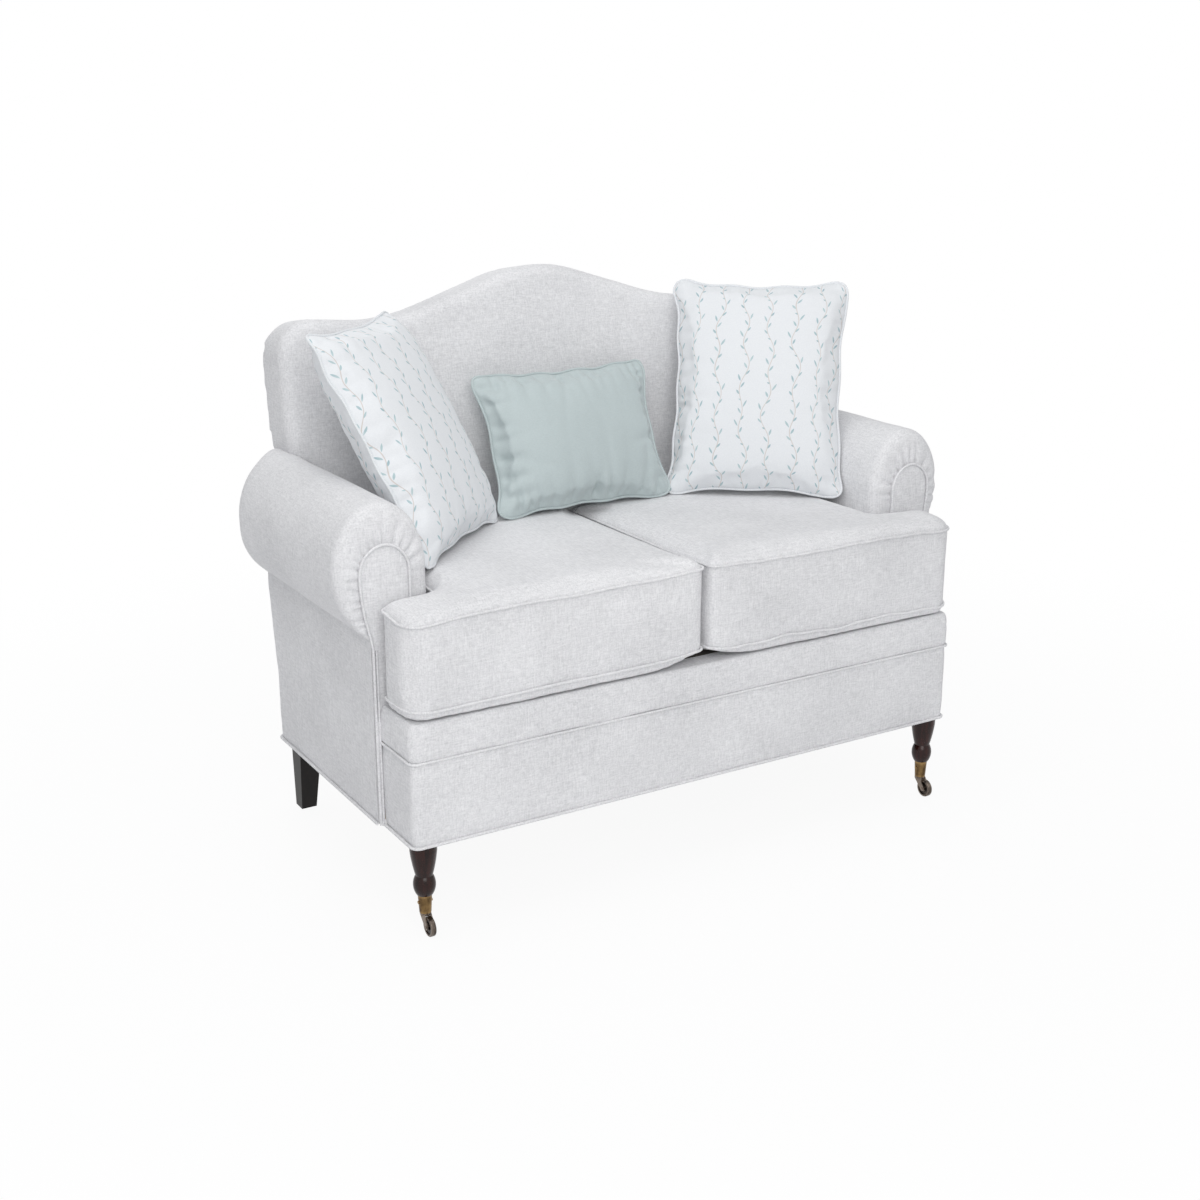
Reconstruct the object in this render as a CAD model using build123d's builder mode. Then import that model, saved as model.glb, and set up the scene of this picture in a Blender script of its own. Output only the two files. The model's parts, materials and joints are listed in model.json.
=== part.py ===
from build123d import *
import math
import os

# A small two-seat settee: camel back, rolled arms set back from the front, two loose T cushions,
# three loose pillows, turned front legs on brass casters and raked rear legs.
# Millimetres. The front faces -Y, and the origin is on the floor under the middle of the whole.

# Base box and its covers
base_width = 1128.0
base_depth = 574.0
base_bottom = 164.0
origin_setback = 337.0
panel_height = 149.0
band_height = 65.0
front_corner = 14.0
band_roll = 5.0
cover = 8.0
dust_cover_thickness = 2.0
dust_cover_margin = 10.0
lining = 2.0
welt = 5.2
welt_gap = 0.2

# Seat frame
rail_height = 140.0
rail_thickness = 28.0
brace_height = 90.0
block_leg = 70.0
block_height = 45.0
spring_count = 6
spring_margin = 50.0
spring_bars = 14
spring_bar_length = 40.0
spring_wire = 4.0
clip_width = 24.0
clip_depth = 14.0
clip_height = 10.0
clip_gap = 0.2

# Arms
arm_setback = 122.0
arm_thickness = 109.0
arm_stand_out = 10.0
arm_top = 713.0
roll_rise = 113.0
roll_drop = 114.0
roll_overhang = 57.0
arm_padding = 22.0
arm_nose = 20.0
facing_thickness = 8.0
facing_half_width = 46.0
facing_rise = 52.0
post_thickness = 25.0
post_inset = 10.0
board_width = 80.0
board_thickness = 25.0

# Back
back_lean = 9.0
back_stand = 1.5
back_depth = 105.0
back_skin = 6.0
back_half_width = 545.0
back_side_swell = 6.0
back_neck = 535.0
back_tail = 72.0
hump_rise = 79.0
hump_run = 361.0
crest_radius = 280.0
dip_radius = 461.0
shoulder_slope = 4.2
shoulder_radius = 62.0
ear_radius = 30.0
back_top = 1006.0
back_edge_pad = 20.0
back_edge_round = 24.0
skin_inset = 8.0
back_clearance = 3.0
ear_clearance = 1.0
back_board = 28.0
back_post_width = 40.0
back_post_inset = 22.0
back_rail_drop = 155.0
lower_rail_height = 60.0
lower_rail_lift = 40.0
slat_width = 50.0
strap_width = 50.0
strap_thickness = 2.0
strap_levels = (170.0, 290.0, 410.0)
strap_columns = (-270.0, -110.0, 110.0, 270.0)
strap_lap = 20.0

# Seat cushions
cushion_lift = 0.3
cushion_proud = 4.0
cushion_belly = 20.7
cushion_boxing = 151.0
cushion_crown = 22.0
cushion_edge = 40.0
cushion_belly_edge = 34.0
cushion_gap = 0.4
cushion_corner = 16.0
cushion_edge_steps = 4
cushion_draw = 3.0
cushion_back_gap = 3.0
cushion_side_gap = 4.0
ear_gap = 2.0
ear_overhang = 2.0
core_inset = 12.0

# Pillows
pillow_width = 340.0
pillow_height = 428.0
pillow_depth = 118.0
lumbar_width = 378.0
lumbar_height = 272.0
lumbar_depth = 104.0
pillow_corner = 26.0
pillow_draw = 12.0
pillow_swell = ((0.0, 1.0), (0.34, 0.93), (0.64, 0.8), (0.88, 0.58), (1.0, 0.26))
left_pillow_in = 82.0
left_pillow_before = 117.9
left_pillow_above = 190.9
left_pillow_turn = 42.0
left_pillow_lean = 28.0
right_pillow_in = 95.0
right_pillow_before = 109.9
right_pillow_above = 199.0
right_pillow_turn = -38.0
right_pillow_lean = 23.0
lumbar_shift = -2.0
lumbar_before = 31.9
lumbar_above = 126.5
lumbar_turn = 0.0
lumbar_lean = 24.0

# Front legs and casters
front_leg_inset = 26.0
leg_head = 45.6
leg_head_height = 14.0
leg_boss = 30.0
leg_neck = 29.0
leg_ball = 38.0
leg_shoulder = 27.0
flare_share = 0.33
flare_lift = 2.0
ball_height = 35.0
peg_top = 21.2
peg_bottom = 17.2
cup_wall = 1.4
cup_height = 32.5
cup_floor = 4.0
cup_screw = 3.0
cup_screw_head = 5.6
cup_screw_length = 9.0
stem = 6.0
stem_head = 9.2
stem_head_height = 2.0
running_gap = 0.05
swivel_gap = 0.3
swivel_plate = 18.0
plate_thickness = 4.5
wheel = 34.0
wheel_width = 9.0
wheel_hub = 12.0
wheel_rim = 4.0
wheel_recess = 1.5
wheel_round = 1.5
wheel_side_gap = 0.5
caster_trail = 15.5
cheek_thickness = 2.2
cheek_boss = 10.0
cheek_head = 14.0
axle = 4.0
axle_overhang = 1.2

# Rear legs and bolts
rear_leg_top = 44.0
rear_leg_foot = 30.0
rear_leg_splay = 14.0
rear_leg_rake = 58.0
bolt = 8.0
bolt_in_leg = 26.0
bolt_in_rail = 40.0
bolt_gap = 0.2
leg_hole_gap = 2.0

# Levels and edges that follow from the sizes above
front_y = -origin_setback
rear_y = front_y + base_depth
front_half = base_width / 2
arm_out = front_half + arm_stand_out
arm_in = arm_out - arm_thickness
rail_out = front_half - cover
rail_in = rail_out - rail_thickness
rail_bottom = base_bottom + dust_cover_thickness
rail_top = rail_bottom + rail_height
band_seam = base_bottom + panel_height
deck_top = band_seam + band_height
arm_front = front_y + arm_setback
facing_front = arm_front - facing_thickness
roll_x = (arm_in + arm_out + roll_overhang) / 2
roll_half = roll_x - arm_in
roll_z = arm_top - roll_rise
crease_z = roll_z - roll_drop
post_x = roll_x - facing_half_width + post_inset
pad_inner = arm_in + arm_padding
lean = math.radians(back_lean)
back_normal = (0, -math.cos(lean), math.sin(lean))
back_foot = base_depth + back_stand
neck_half = arm_in - back_clearance
post_out = neck_half - back_post_inset
post_in = post_out - back_post_width
front_leg_reach = front_half - front_leg_inset
spring_pitch = 2 * (post_in - spring_margin) / (spring_count - 1)
welt_reach = welt / 2 + welt_gap

pieces = {}


def box_between(low, high, mode=Mode.ADD):
    """A block from one corner to the opposite one."""
    size = [b - a for a, b in zip(low, high)]
    middle = tuple((a + b) / 2 for a, b in zip(low, high))
    with Locations(middle):
        Box(*size, mode=mode)


def tube_along(path, width):
    """A round cord along a path of lines and arcs."""
    with BuildSketch(Plane(origin=path @ 0, z_dir=path % 0)) as end:
        Circle(width / 2)
    sweep(end.sketch, path=path)


# Seat frame: four rails, a brace and corner blocks
front_leg_y = front_y + front_leg_inset
rear_rail_y = rear_y - cover - rail_thickness
rear_leg_x = rail_out - rear_leg_top / 2
rear_leg_y = rear_y - cover - rear_leg_top / 2
leg_places = [
    (-front_leg_reach, front_leg_y),
    (front_leg_reach, front_leg_y),
    (-rear_leg_x, rear_leg_y),
    (rear_leg_x, rear_leg_y),
]


def bolt_bores(places):
    """Bores for the leg bolts, up into a rail."""
    with Locations(*[(x, y, rail_bottom) for x, y in places]):
        bore_size = (bolt / 2 + bolt_gap, bolt_in_rail + bolt_gap)
        Cylinder(*bore_size, align=(Align.CENTER, Align.CENTER, Align.MIN), mode=Mode.SUBTRACT)


with BuildPart() as front_rail:
    low_corner = (-rail_out, front_y + cover, rail_bottom)
    box_between(low_corner, (rail_out, front_y + cover + rail_thickness, rail_top))
    bolt_bores(leg_places[:2])
pieces["front_rail"] = front_rail

with BuildPart() as rear_rail:
    box_between((-rail_out, rear_rail_y, rail_bottom), (rail_out, rear_y - cover, rail_top))
    bolt_bores(leg_places[2:])
pieces["rear_rail"] = rear_rail

side_rail_front = front_y + cover + rail_thickness
with BuildPart() as right_side_rail:
    box_between((rail_in, side_rail_front, rail_bottom), (rail_out, rear_rail_y, rail_top))
pieces["right_side_rail"] = right_side_rail

with BuildPart() as left_side_rail:
    mirror(right_side_rail.part, about=Plane.YZ)
pieces["left_side_rail"] = left_side_rail

with BuildPart() as seat_brace:
    low_corner = (-rail_thickness / 2, side_rail_front, rail_bottom)
    box_between(low_corner, (rail_thickness / 2, rear_rail_y, rail_bottom + brace_height))
pieces["seat_brace"] = seat_brace

with BuildPart() as corner_blocks:
    for corner_y, way in ((side_rail_front, 1), (rear_rail_y, -1)):
        for side in (-1, 1):
            with BuildSketch(Plane.XY.offset(rail_bottom)):
                with BuildLine():
                    Polyline(
                        (side * rail_in, corner_y),
                        (side * (rail_in - block_leg), corner_y),
                        (side * rail_in, corner_y + way * block_leg),
                        close=True,
                    )
                make_face()
            extrude(amount=block_height)
pieces["corner_blocks"] = corner_blocks

# Sinuous seat springs, held by clips on the front and rear rails
spring_z = rail_top + clip_height / 2
spring_front = front_y + cover + rail_thickness / 2
spring_rear = rear_rail_y + rail_thickness / 2
bar_step = (spring_rear - spring_front) / (spring_bars - 1)
spring_xs = [spring_pitch * (i - (spring_count - 1) / 2) for i in range(spring_count)]

with BuildPart() as seat_springs:
    for spring_x in spring_xs:
        with BuildLine() as zigzag:
            for bar in range(spring_bars):
                reach = spring_bar_length / 2 * (1 if bar % 2 == 0 else -1)
                bow = math.copysign(bar_step / 2, reach)
                y = spring_front + bar * bar_step
                Line((spring_x - reach, y, spring_z), (spring_x + reach, y, spring_z))
                if bar < spring_bars - 1:
                    ThreePointArc(
                        (spring_x + reach, y, spring_z),
                        (spring_x + reach + bow, y + bar_step / 2, spring_z),
                        (spring_x + reach, y + bar_step, spring_z),
                    )
        tube_along(zigzag.wires()[0], spring_wire)
pieces["seat_springs"] = seat_springs

with BuildPart() as spring_clips:
    for spring_x in spring_xs:
        for clip_y in (spring_front, spring_rear):
            with Locations((spring_x, clip_y, spring_z)):
                Box(clip_width, clip_depth, clip_height)
            with Locations(Location((spring_x, clip_y, spring_z), (0, 90, 0))):
                Cylinder(spring_wire / 2 + clip_gap, clip_width, mode=Mode.SUBTRACT)
pieces["spring_clips"] = spring_clips

# Deck: a pad on the springs and a dark lining over it, wide in front of the arms
deck_rear = rear_rail_y - back_clearance


def deck_layer(bottom, top):
    """One T-shaped layer of the deck."""
    box_between((-rail_out, front_y + cover, bottom), (rail_out, facing_front, top))
    box_between((-pad_inner, facing_front, bottom), (pad_inner, deck_rear, top))


with BuildPart() as deck_pad:
    deck_layer(rail_top + clip_height, deck_top - lining)
pieces["deck_pad"] = deck_pad

with BuildPart() as deck_lining:
    deck_layer(deck_top - lining, deck_top)
pieces["deck_lining"] = deck_lining

# Front cover: a lower panel and a band, both turned round the corners to the arm facings


def front_block(bottom, height):
    """A solid block of the front section's outline."""
    with BuildSketch(Plane.XY.offset(bottom)) as block:
        with Locations((0, (front_y + facing_front) / 2)):
            Rectangle(base_width, facing_front - front_y)
        fillet(block.vertices().group_by(Axis.Y)[0], front_corner)
    extrude(block.sketch, amount=height)


def front_hollow(bottom, height):
    """Leave only the cover's thickness of a front block."""
    low_corner = (-rail_out, front_y + cover, bottom)
    box_between(low_corner, (rail_out, facing_front, bottom + height), mode=Mode.SUBTRACT)


with BuildPart() as front_panel:
    front_block(base_bottom, panel_height)
    front_hollow(base_bottom, panel_height)
pieces["front_panel"] = front_panel

with BuildPart() as front_band:
    front_block(band_seam, band_height)
    rim = front_band.edges().group_by(Axis.Z)[-1].sort_by(Axis.Y)[:-1]
    fillet(rim, band_roll)
    front_hollow(band_seam, band_height)
pieces["front_band"] = front_band


def open_welt(half, front, rear, level):
    """A cord round three sides of the base, open towards its first and last point."""
    side = half + welt_reach
    turn = front_corner + welt_reach
    corners = [(-side, front, level), (-side, rear, level), (side, rear, level), (side, front, level)]
    with BuildLine() as run:
        FilletPolyline(*corners, radius=turn)
    tube_along(run.wires()[0], welt)


with BuildPart() as base_welts:
    welt_end = facing_front - 2 * welt_reach
    open_welt(front_half, welt_end, front_y - welt_reach, band_seam)
    open_welt(front_half, welt_end, front_y - welt_reach, base_bottom + welt / 2)
    open_welt(arm_out, arm_front, rear_y + welt_reach, base_bottom + welt / 2)
pieces["base_welts"] = base_welts

with BuildPart() as dust_cover:
    dust_side = rail_out - dust_cover_margin
    dust_front = front_y + cover + dust_cover_margin
    dust_rear = rear_y - cover - dust_cover_margin
    box_between((-dust_side, dust_front, base_bottom), (dust_side, dust_rear, rail_bottom))
    with Locations(*[(x, y, base_bottom) for x, y in leg_places]):
        Cylinder(leg_boss / 2 + leg_hole_gap, 2 * rail_height, mode=Mode.SUBTRACT)
pieces["dust_cover"] = dust_cover

# Arms: posts and a board of wood, a padded roll, an outside panel and a facing with its welt
post_rear = arm_front + post_thickness
arm_end = Plane(origin=(0, rear_y, rail_top), x_dir=(1, 0, 0), z_dir=back_normal)
arm_length = base_depth - arm_setback + (arm_top - rail_top) * math.tan(lean)
rear_post_top = roll_z - board_thickness

with BuildPart() as right_arm_post:
    with BuildSketch(Plane.XZ.offset(-arm_front)):
        with BuildLine():
            half = facing_half_width - post_inset
            crown = EllipticalCenterArc((roll_x, roll_z), half, facing_rise - post_inset, arc_size=180)
            Polyline(crown @ 1, (post_x, rail_top), (rail_out, rail_top), (rail_out, crease_z), crown @ 0)
        make_face()
    extrude(amount=-post_thickness)
pieces["right_arm_post"] = right_arm_post

with BuildPart() as arm_rear_posts:
    box_between((post_x, rear_rail_y, rail_top), (rail_out, rear_y - cover, rear_post_top))
    mirror(about=Plane.YZ)
pieces["arm_rear_posts"] = arm_rear_posts

with BuildPart() as right_arm_board:
    low_corner = (roll_x - board_width / 2, post_rear, rear_post_top)
    box_between(low_corner, (roll_x + board_width / 2, rear_y - cover, roll_z))
pieces["right_arm_board"] = right_arm_board

with BuildPart() as right_arm_pad:
    with BuildSketch(Plane.XZ.offset(-arm_front)):
        with BuildLine():
            over = EllipticalCenterArc((roll_x, roll_z), roll_half, roll_rise, arc_size=180)
            TangentArc(over @ 0, (arm_out, crease_z), tangent=(0, -1))
            Polyline((arm_out, crease_z), (pad_inner, crease_z), (pad_inner, deck_top))
            Polyline((pad_inner, deck_top), (arm_in, deck_top), over @ 1)
        make_face()
    extrude(amount=-arm_length)
    split(bisect_by=arm_end, keep=Keep.TOP)
    nose = right_arm_pad.edges().group_by(Axis.Y)[0]
    fillet(nose.filter_by(lambda e: e.geom_type != GeomType.LINE), arm_nose)
    for wood in (right_arm_post, arm_rear_posts, right_arm_board):
        add(wood.part, mode=Mode.SUBTRACT)
pieces["right_arm_pad"] = right_arm_pad


def arm_wrap(level, rear):
    """A level section of an outside arm, turned round the rear corner."""
    near = 0.1
    with BuildSketch(Plane.XY.offset(level), mode=Mode.PRIVATE) as section:
        with BuildLine():
            Polyline(
                (rail_out, arm_front),
                (arm_out, arm_front),
                (arm_out, rear),
                (pad_inner, rear),
                (pad_inner, rear - cover),
                (rail_out, rear - cover),
                close=True,
            )
        make_face()
        corner = section.vertices().filter_by(lambda v: v.X > arm_out - near and v.Y > rear - near)
        fillet(corner, front_corner)
    return section.sketch


with BuildPart() as right_outside_arm:
    crease_rear = rear_y + (crease_z - rail_top) * math.tan(lean)
    wraps = ((base_bottom, rear_y), (rail_top, rear_y), (crease_z, crease_rear))
    loft(sections=[arm_wrap(level, rear) for level, rear in wraps], ruled=True)
pieces["right_outside_arm"] = right_outside_arm


def facing_outline():
    """The keyhole outline of an arm facing, with a narrow tail beside the front section."""
    crown = EllipticalCenterArc((roll_x, roll_z), facing_half_width, facing_rise, arc_size=180)
    TangentArc(crown @ 0, (arm_out, crease_z), tangent=(0, -1))
    Polyline(
        (arm_out, crease_z),
        (arm_out, base_bottom),
        (front_half, base_bottom),
        (front_half, deck_top),
        ((crown @ 1).X, deck_top),
        crown @ 1,
    )


with BuildPart() as right_arm_facing:
    with BuildSketch(Plane.XZ.offset(-facing_front)):
        with BuildLine():
            facing_outline()
        make_face()
    extrude(amount=-facing_thickness)
pieces["right_arm_facing"] = right_arm_facing

with BuildLine() as facing_rim:
    half = facing_half_width - welt / 2
    EllipticalCenterArc((roll_x, roll_z), half, facing_rise - welt / 2, arc_size=180)
    tail_x = arm_out - welt / 2
    TangentArc((roll_x + half, roll_z), (tail_x, crease_z), tangent=(0, -1))
    Line((tail_x, crease_z), (tail_x, base_bottom + welt + 2 * welt_reach))
rim_place = Plane.XZ.offset(welt_reach - facing_front).location

with BuildPart() as facing_welts:
    tube_along(facing_rim.wires()[0].moved(rim_place), welt)
    mirror(about=Plane.YZ)
pieces["facing_welts"] = facing_welts

for name in ("arm_post", "arm_board", "arm_pad", "arm_facing", "outside_arm"):
    with BuildPart() as left_piece:
        mirror(pieces[f"right_{name}"].part, about=Plane.YZ)
    pieces[f"left_{name}"] = left_piece

# Back: drawn on a plane that leans, with its rear face on the plane
back_plane = Plane(origin=(0, front_y + back_foot, rail_top), x_dir=(1, 0, 0), z_dir=back_normal)


def up_back(height, depth=0.0):
    """How far up the leaning back a height lies, at a depth in front of its rear face."""
    return (height - rail_top - depth * math.sin(lean)) / math.cos(lean)


crest_v = up_back(back_top, back_depth / 2)
dip_v = crest_v - hump_rise
tail_v = back_tail / math.cos(lean)
both_radii = crest_radius + dip_radius
hump_angle = math.atan2(hump_run, both_radii - hump_rise) - math.acos(
    both_radii / math.hypot(both_radii - hump_rise, hump_run)
)
shoulder_angle = math.radians(shoulder_slope)
back_rail_v = crest_v - back_rail_drop


def arc_point(radius, angle, x, v):
    """A point on an arc that turns from level, an angle past its lowest or highest point."""
    return (x + radius * math.sin(angle), v + radius * (1 - math.cos(angle)))


def back_face(inset, tail):
    """The back's outline drawn in by an inset: crest, dips, shoulders, ears over the arms and a tail."""
    near = 0.1
    crest = crest_radius - inset
    dip = dip_radius + inset
    top_v = crest_v - inset
    crest_middle = arc_point(-crest, -hump_angle / 2, 0, top_v)
    crest_end = arc_point(-crest, -hump_angle, 0, top_v)
    dip_start = arc_point(dip, -hump_angle, hump_run, dip_v - inset)
    dip_end = arc_point(dip, shoulder_angle, hump_run, dip_v - inset)
    side = back_half_width - inset
    shoulder = (side, dip_end[1] + (side - dip_end[0]) * math.tan(shoulder_angle))
    roll_gap = ear_clearance + inset
    neck = back_neck - inset
    ear_angle = math.degrees(math.acos((neck - roll_x) / (roll_half + roll_gap)))
    roll_height = (roll_rise + roll_gap) / math.cos(lean)
    with BuildSketch(mode=Mode.PRIVATE) as face:
        with BuildLine():
            ThreePointArc((0, top_v), crest_middle, crest_end)
            Line(crest_end, dip_start)
            ThreePointArc(dip_start, (hump_run, dip_v - inset), dip_end)
            Line(dip_end, shoulder)
            over_roll = EllipticalCenterArc(
                (roll_x, up_back(roll_z, back_depth)),
                roll_half + roll_gap,
                roll_height,
                ear_angle,
                arc_size=180 - ear_angle,
            )
            ear = over_roll @ 0
            swell = ((side + neck) / 2 + back_side_swell, (shoulder[1] + ear.Y) / 2)
            ThreePointArc(shoulder, swell, ear)
            neck_side = neck_half - inset
            Polyline(over_roll @ 1, (neck_side, tail), (0, tail))
            mirror(about=Plane.YZ)
        make_face()
        outer = face.vertices().filter_by(lambda v: abs(v.X) > neck - near)
        fillet(outer.filter_by(lambda v: v.Y > ear.Y + near), shoulder_radius - inset)
        outer = face.vertices().filter_by(lambda v: abs(abs(v.X) - neck) < near)
        fillet(outer.filter_by(lambda v: abs(v.Y - ear.Y) < near), ear_radius - inset)
    return face.sketch


wood_front = back_skin + back_board
pocket_front = wood_front + 2 * strap_thickness


def clear_rolls():
    """Hollow the ears of the back over the arm rolls."""
    with BuildSketch(Plane.XZ) as rolls:
        with Locations((-roll_x, roll_z), (roll_x, roll_z)):
            Ellipse(roll_half + ear_clearance, roll_rise + ear_clearance)
    extrude(rolls.sketch, amount=base_depth, both=True, mode=Mode.SUBTRACT)


with BuildPart() as inside_back:
    with BuildSketch(back_plane.offset(back_skin)):
        add(back_face(0, tail_v))
    extrude(amount=back_depth - back_skin)
    front_face = inside_back.faces().sort_by(Axis((0, 0, 0), back_plane.z_dir))[-1]
    fillet(front_face.edges(), back_edge_round)
    with BuildSketch(back_plane.offset(back_skin)):
        add(back_face(back_edge_pad, 0))
    extrude(amount=pocket_front - back_skin, mode=Mode.SUBTRACT)
    clear_rolls()
pieces["inside_back"] = inside_back

with BuildPart() as outside_back:
    with BuildSketch(back_plane):
        add(back_face(skin_inset, -skin_inset))
        with Locations((0, -skin_inset)):
            foot_height = up_back(deck_top - welt_gap, back_skin) + skin_inset
            foot_width = 2 * (pad_inner - welt_gap)
            Rectangle(foot_width, foot_height, align=(Align.CENTER, Align.MIN))
    extrude(amount=back_skin)
    low_corner = (-pad_inner, rear_y - cover, base_bottom)
    box_between(low_corner, (pad_inner, rear_y, rail_top))
    clear_rolls()
pieces["outside_back"] = outside_back


def back_wood(u_low, u_high, v_low, v_high):
    """A board of the back frame, laid on the outside panel."""
    with BuildSketch(back_plane.offset(back_skin)) as board:
        with Locations(((u_low + u_high) / 2, (v_low + v_high) / 2)):
            Rectangle(u_high - u_low, v_high - v_low)
    extrude(board.sketch, amount=back_board)


with BuildPart() as right_back_post:
    back_wood(post_in, post_out, -back_board, back_rail_v)
    split(bisect_by=Plane.XY.offset(rail_top), keep=Keep.TOP)
pieces["right_back_post"] = right_back_post

with BuildPart() as left_back_post:
    mirror(right_back_post.part, about=Plane.YZ)
pieces["left_back_post"] = left_back_post

with BuildPart() as back_top_rail:
    with BuildSketch(back_plane.offset(back_skin)):
        add(back_face(back_edge_pad + back_clearance / 2, tail_v))
        with Locations((0, back_rail_v)):
            above = (2 * back_half_width, 2 * back_rail_drop)
            Rectangle(*above, align=(Align.CENTER, Align.MIN), mode=Mode.INTERSECT)
    extrude(amount=back_board)
pieces["back_top_rail"] = back_top_rail

lower_rail_top = lower_rail_lift + lower_rail_height
with BuildPart() as back_lower_rail:
    back_wood(-post_in, post_in, lower_rail_lift, lower_rail_top)
pieces["back_lower_rail"] = back_lower_rail

with BuildPart() as back_slat:
    back_wood(-slat_width / 2, slat_width / 2, lower_rail_top, back_rail_v)
pieces["back_slat"] = back_slat

with BuildPart() as back_webbing:
    with BuildSketch(back_plane.offset(wood_front)):
        with Locations(*[(0, level) for level in strap_levels]):
            Rectangle(2 * post_out, strap_width)
    extrude(amount=strap_thickness)
    strap_bottom = lower_rail_top - strap_lap
    strap_top = back_rail_v + strap_lap
    with BuildSketch(back_plane.offset(wood_front + strap_thickness)):
        with Locations(*[(u, (strap_bottom + strap_top) / 2) for u in strap_columns]):
            Rectangle(strap_width, strap_top - strap_bottom)
    extrude(amount=strap_thickness)
pieces["back_webbing"] = back_webbing

# Seat cushions: a T block of foam in a crowned cover with welts along its two seams
cushion_bottom = deck_top + cushion_lift
low_seam = cushion_bottom + cushion_belly
high_seam = low_seam + cushion_boxing
seat_top = high_seam + cushion_crown
cushion_inner = welt + welt_gap + cushion_gap / 2
cushion_front = front_y - cushion_proud
back_front_foot = front_y + back_foot - back_depth / math.cos(lean)
back_front_y = back_front_foot + (low_seam - rail_top) * math.tan(lean)
cushion_rear = back_front_y - cushion_back_gap - welt - welt_gap
cushion_side = arm_in - cushion_side_gap - welt - welt_gap
ear_side = front_half + ear_overhang
ear_rear = facing_front - welt_reach - ear_gap - welt - welt_gap - welt / 2


def t_corners(inset):
    """The corners of a seat cushion's T outline, drawn in by an inset."""
    return [
        (cushion_inner + inset, cushion_front + inset),
        (ear_side - inset, cushion_front + inset),
        (ear_side - inset, ear_rear - inset),
        (cushion_side - inset, ear_rear - inset),
        (cushion_side - inset, cushion_rear - inset),
        (cushion_inner + inset, cushion_rear - inset),
    ]


def t_section(level, inset):
    """A level section of a seat cushion, its long sides drawn in between the corners."""
    a, b, c, d, e, f = t_corners(inset)
    draw = cushion_draw
    with BuildSketch(Plane.XY.offset(level), mode=Mode.PRIVATE) as section:
        with BuildLine():
            ThreePointArc(a, ((a[0] + b[0]) / 2, a[1] + draw), b)
            Line(b, c)
            Line(c, d)
            ThreePointArc(d, (d[0] - draw, (d[1] + e[1]) / 2), e)
            ThreePointArc(e, ((e[0] + f[0]) / 2, e[1] - draw), f)
            ThreePointArc(f, (f[0] + draw, (f[1] + a[1]) / 2), a)
        make_face()
        fillet(section.vertices(), cushion_corner * (1 - inset / (2 * cushion_edge)))
    return section.sketch


def eased(edge, rise, level):
    """Levels and insets along a rounded edge, from a seam to its highest or lowest line."""
    turns = [math.pi / 2 * i / cushion_edge_steps for i in range(cushion_edge_steps + 1)]
    return [(level + rise * math.sin(turn), edge * (1 - math.cos(turn))) for turn in turns]


with BuildPart() as right_cushion_core:
    with BuildSketch(Plane.XY.offset(low_seam)) as core:
        with BuildLine():
            Polyline(*t_corners(core_inset), close=True)
        make_face()
    extrude(amount=cushion_boxing)
pieces["right_cushion_core"] = right_cushion_core

with BuildPart() as right_cushion_cover:
    belly = eased(cushion_belly_edge, -cushion_belly, low_seam)
    crown = eased(cushion_edge, cushion_crown, high_seam)
    loft(sections=[t_section(level, inset) for level, inset in belly])
    loft(sections=[t_section(level, 0) for level in (low_seam, high_seam)])
    loft(sections=[t_section(level, inset) for level, inset in crown])
    add(right_cushion_core.part, mode=Mode.SUBTRACT)
pieces["right_cushion_cover"] = right_cushion_cover

with BuildPart() as right_cushion_welts:
    for seam in (low_seam, high_seam):
        with BuildLine() as ring:
            corners = [(x, y, seam) for x, y in t_corners(-welt_reach)]
            FilletPolyline(*corners, radius=cushion_corner, close=True)
        tube_along(ring.wires()[0], welt)
pieces["right_cushion_welts"] = right_cushion_welts

for name in ("core", "cover", "welts"):
    with BuildPart() as left_piece:
        mirror(pieces[f"right_cushion_{name}"].part, about=Plane.YZ)
    pieces[f"left_cushion_{name}"] = left_piece

# Pillows: swollen squares with drawn-in sides and a welt, leaning on the seat before the back


def pillow_plane(x, before_back, above_seat, turn, lean_back):
    """A pillow's own plane: its width along X, its height along Y and its plump side along Z."""
    yaw = math.radians(turn)
    tip = math.radians(lean_back)
    middle = (x, back_front_y - before_back, seat_top + above_seat)
    facing = (math.sin(yaw) * math.cos(tip), -math.cos(yaw) * math.cos(tip), math.sin(tip))
    return Plane(origin=middle, x_dir=(math.cos(yaw), math.sin(yaw), 0), z_dir=facing)


def pillow_section(plane, width, height, share, grow=0.0):
    """A pillow's outline at one depth, a share of its full size, its sides drawn in."""
    x = (width / 2 + grow) * share
    y = (height / 2 + grow) * share
    draw = pillow_draw * share
    with BuildSketch(plane, mode=Mode.PRIVATE) as section:
        with BuildLine():
            ThreePointArc((-x, -y), (0, -y + draw), (x, -y))
            ThreePointArc((x, -y), (x - draw, 0), (x, y))
            ThreePointArc((x, y), (0, y - draw), (-x, y))
            ThreePointArc((-x, y), (-x + draw, 0), (-x, -y))
        make_face()
        fillet(section.vertices(), (pillow_corner + grow) * share)
    return section.sketch


left_spot = (left_pillow_in - arm_in, left_pillow_before, left_pillow_above)
right_spot = (arm_in - right_pillow_in, right_pillow_before, right_pillow_above)
lumbar_spot = (lumbar_shift, lumbar_before, lumbar_above)
left_plane = pillow_plane(*left_spot, left_pillow_turn, left_pillow_lean)
right_plane = pillow_plane(*right_spot, right_pillow_turn, right_pillow_lean)
lumbar_plane = pillow_plane(*lumbar_spot, lumbar_turn, lumbar_lean)
pillow_kinds = {
    "left_pillow": (left_plane, pillow_width, pillow_height, pillow_depth),
    "right_pillow": (right_plane, pillow_width, pillow_height, pillow_depth),
    "lumbar_pillow": (lumbar_plane, lumbar_width, lumbar_height, lumbar_depth),
}

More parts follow.
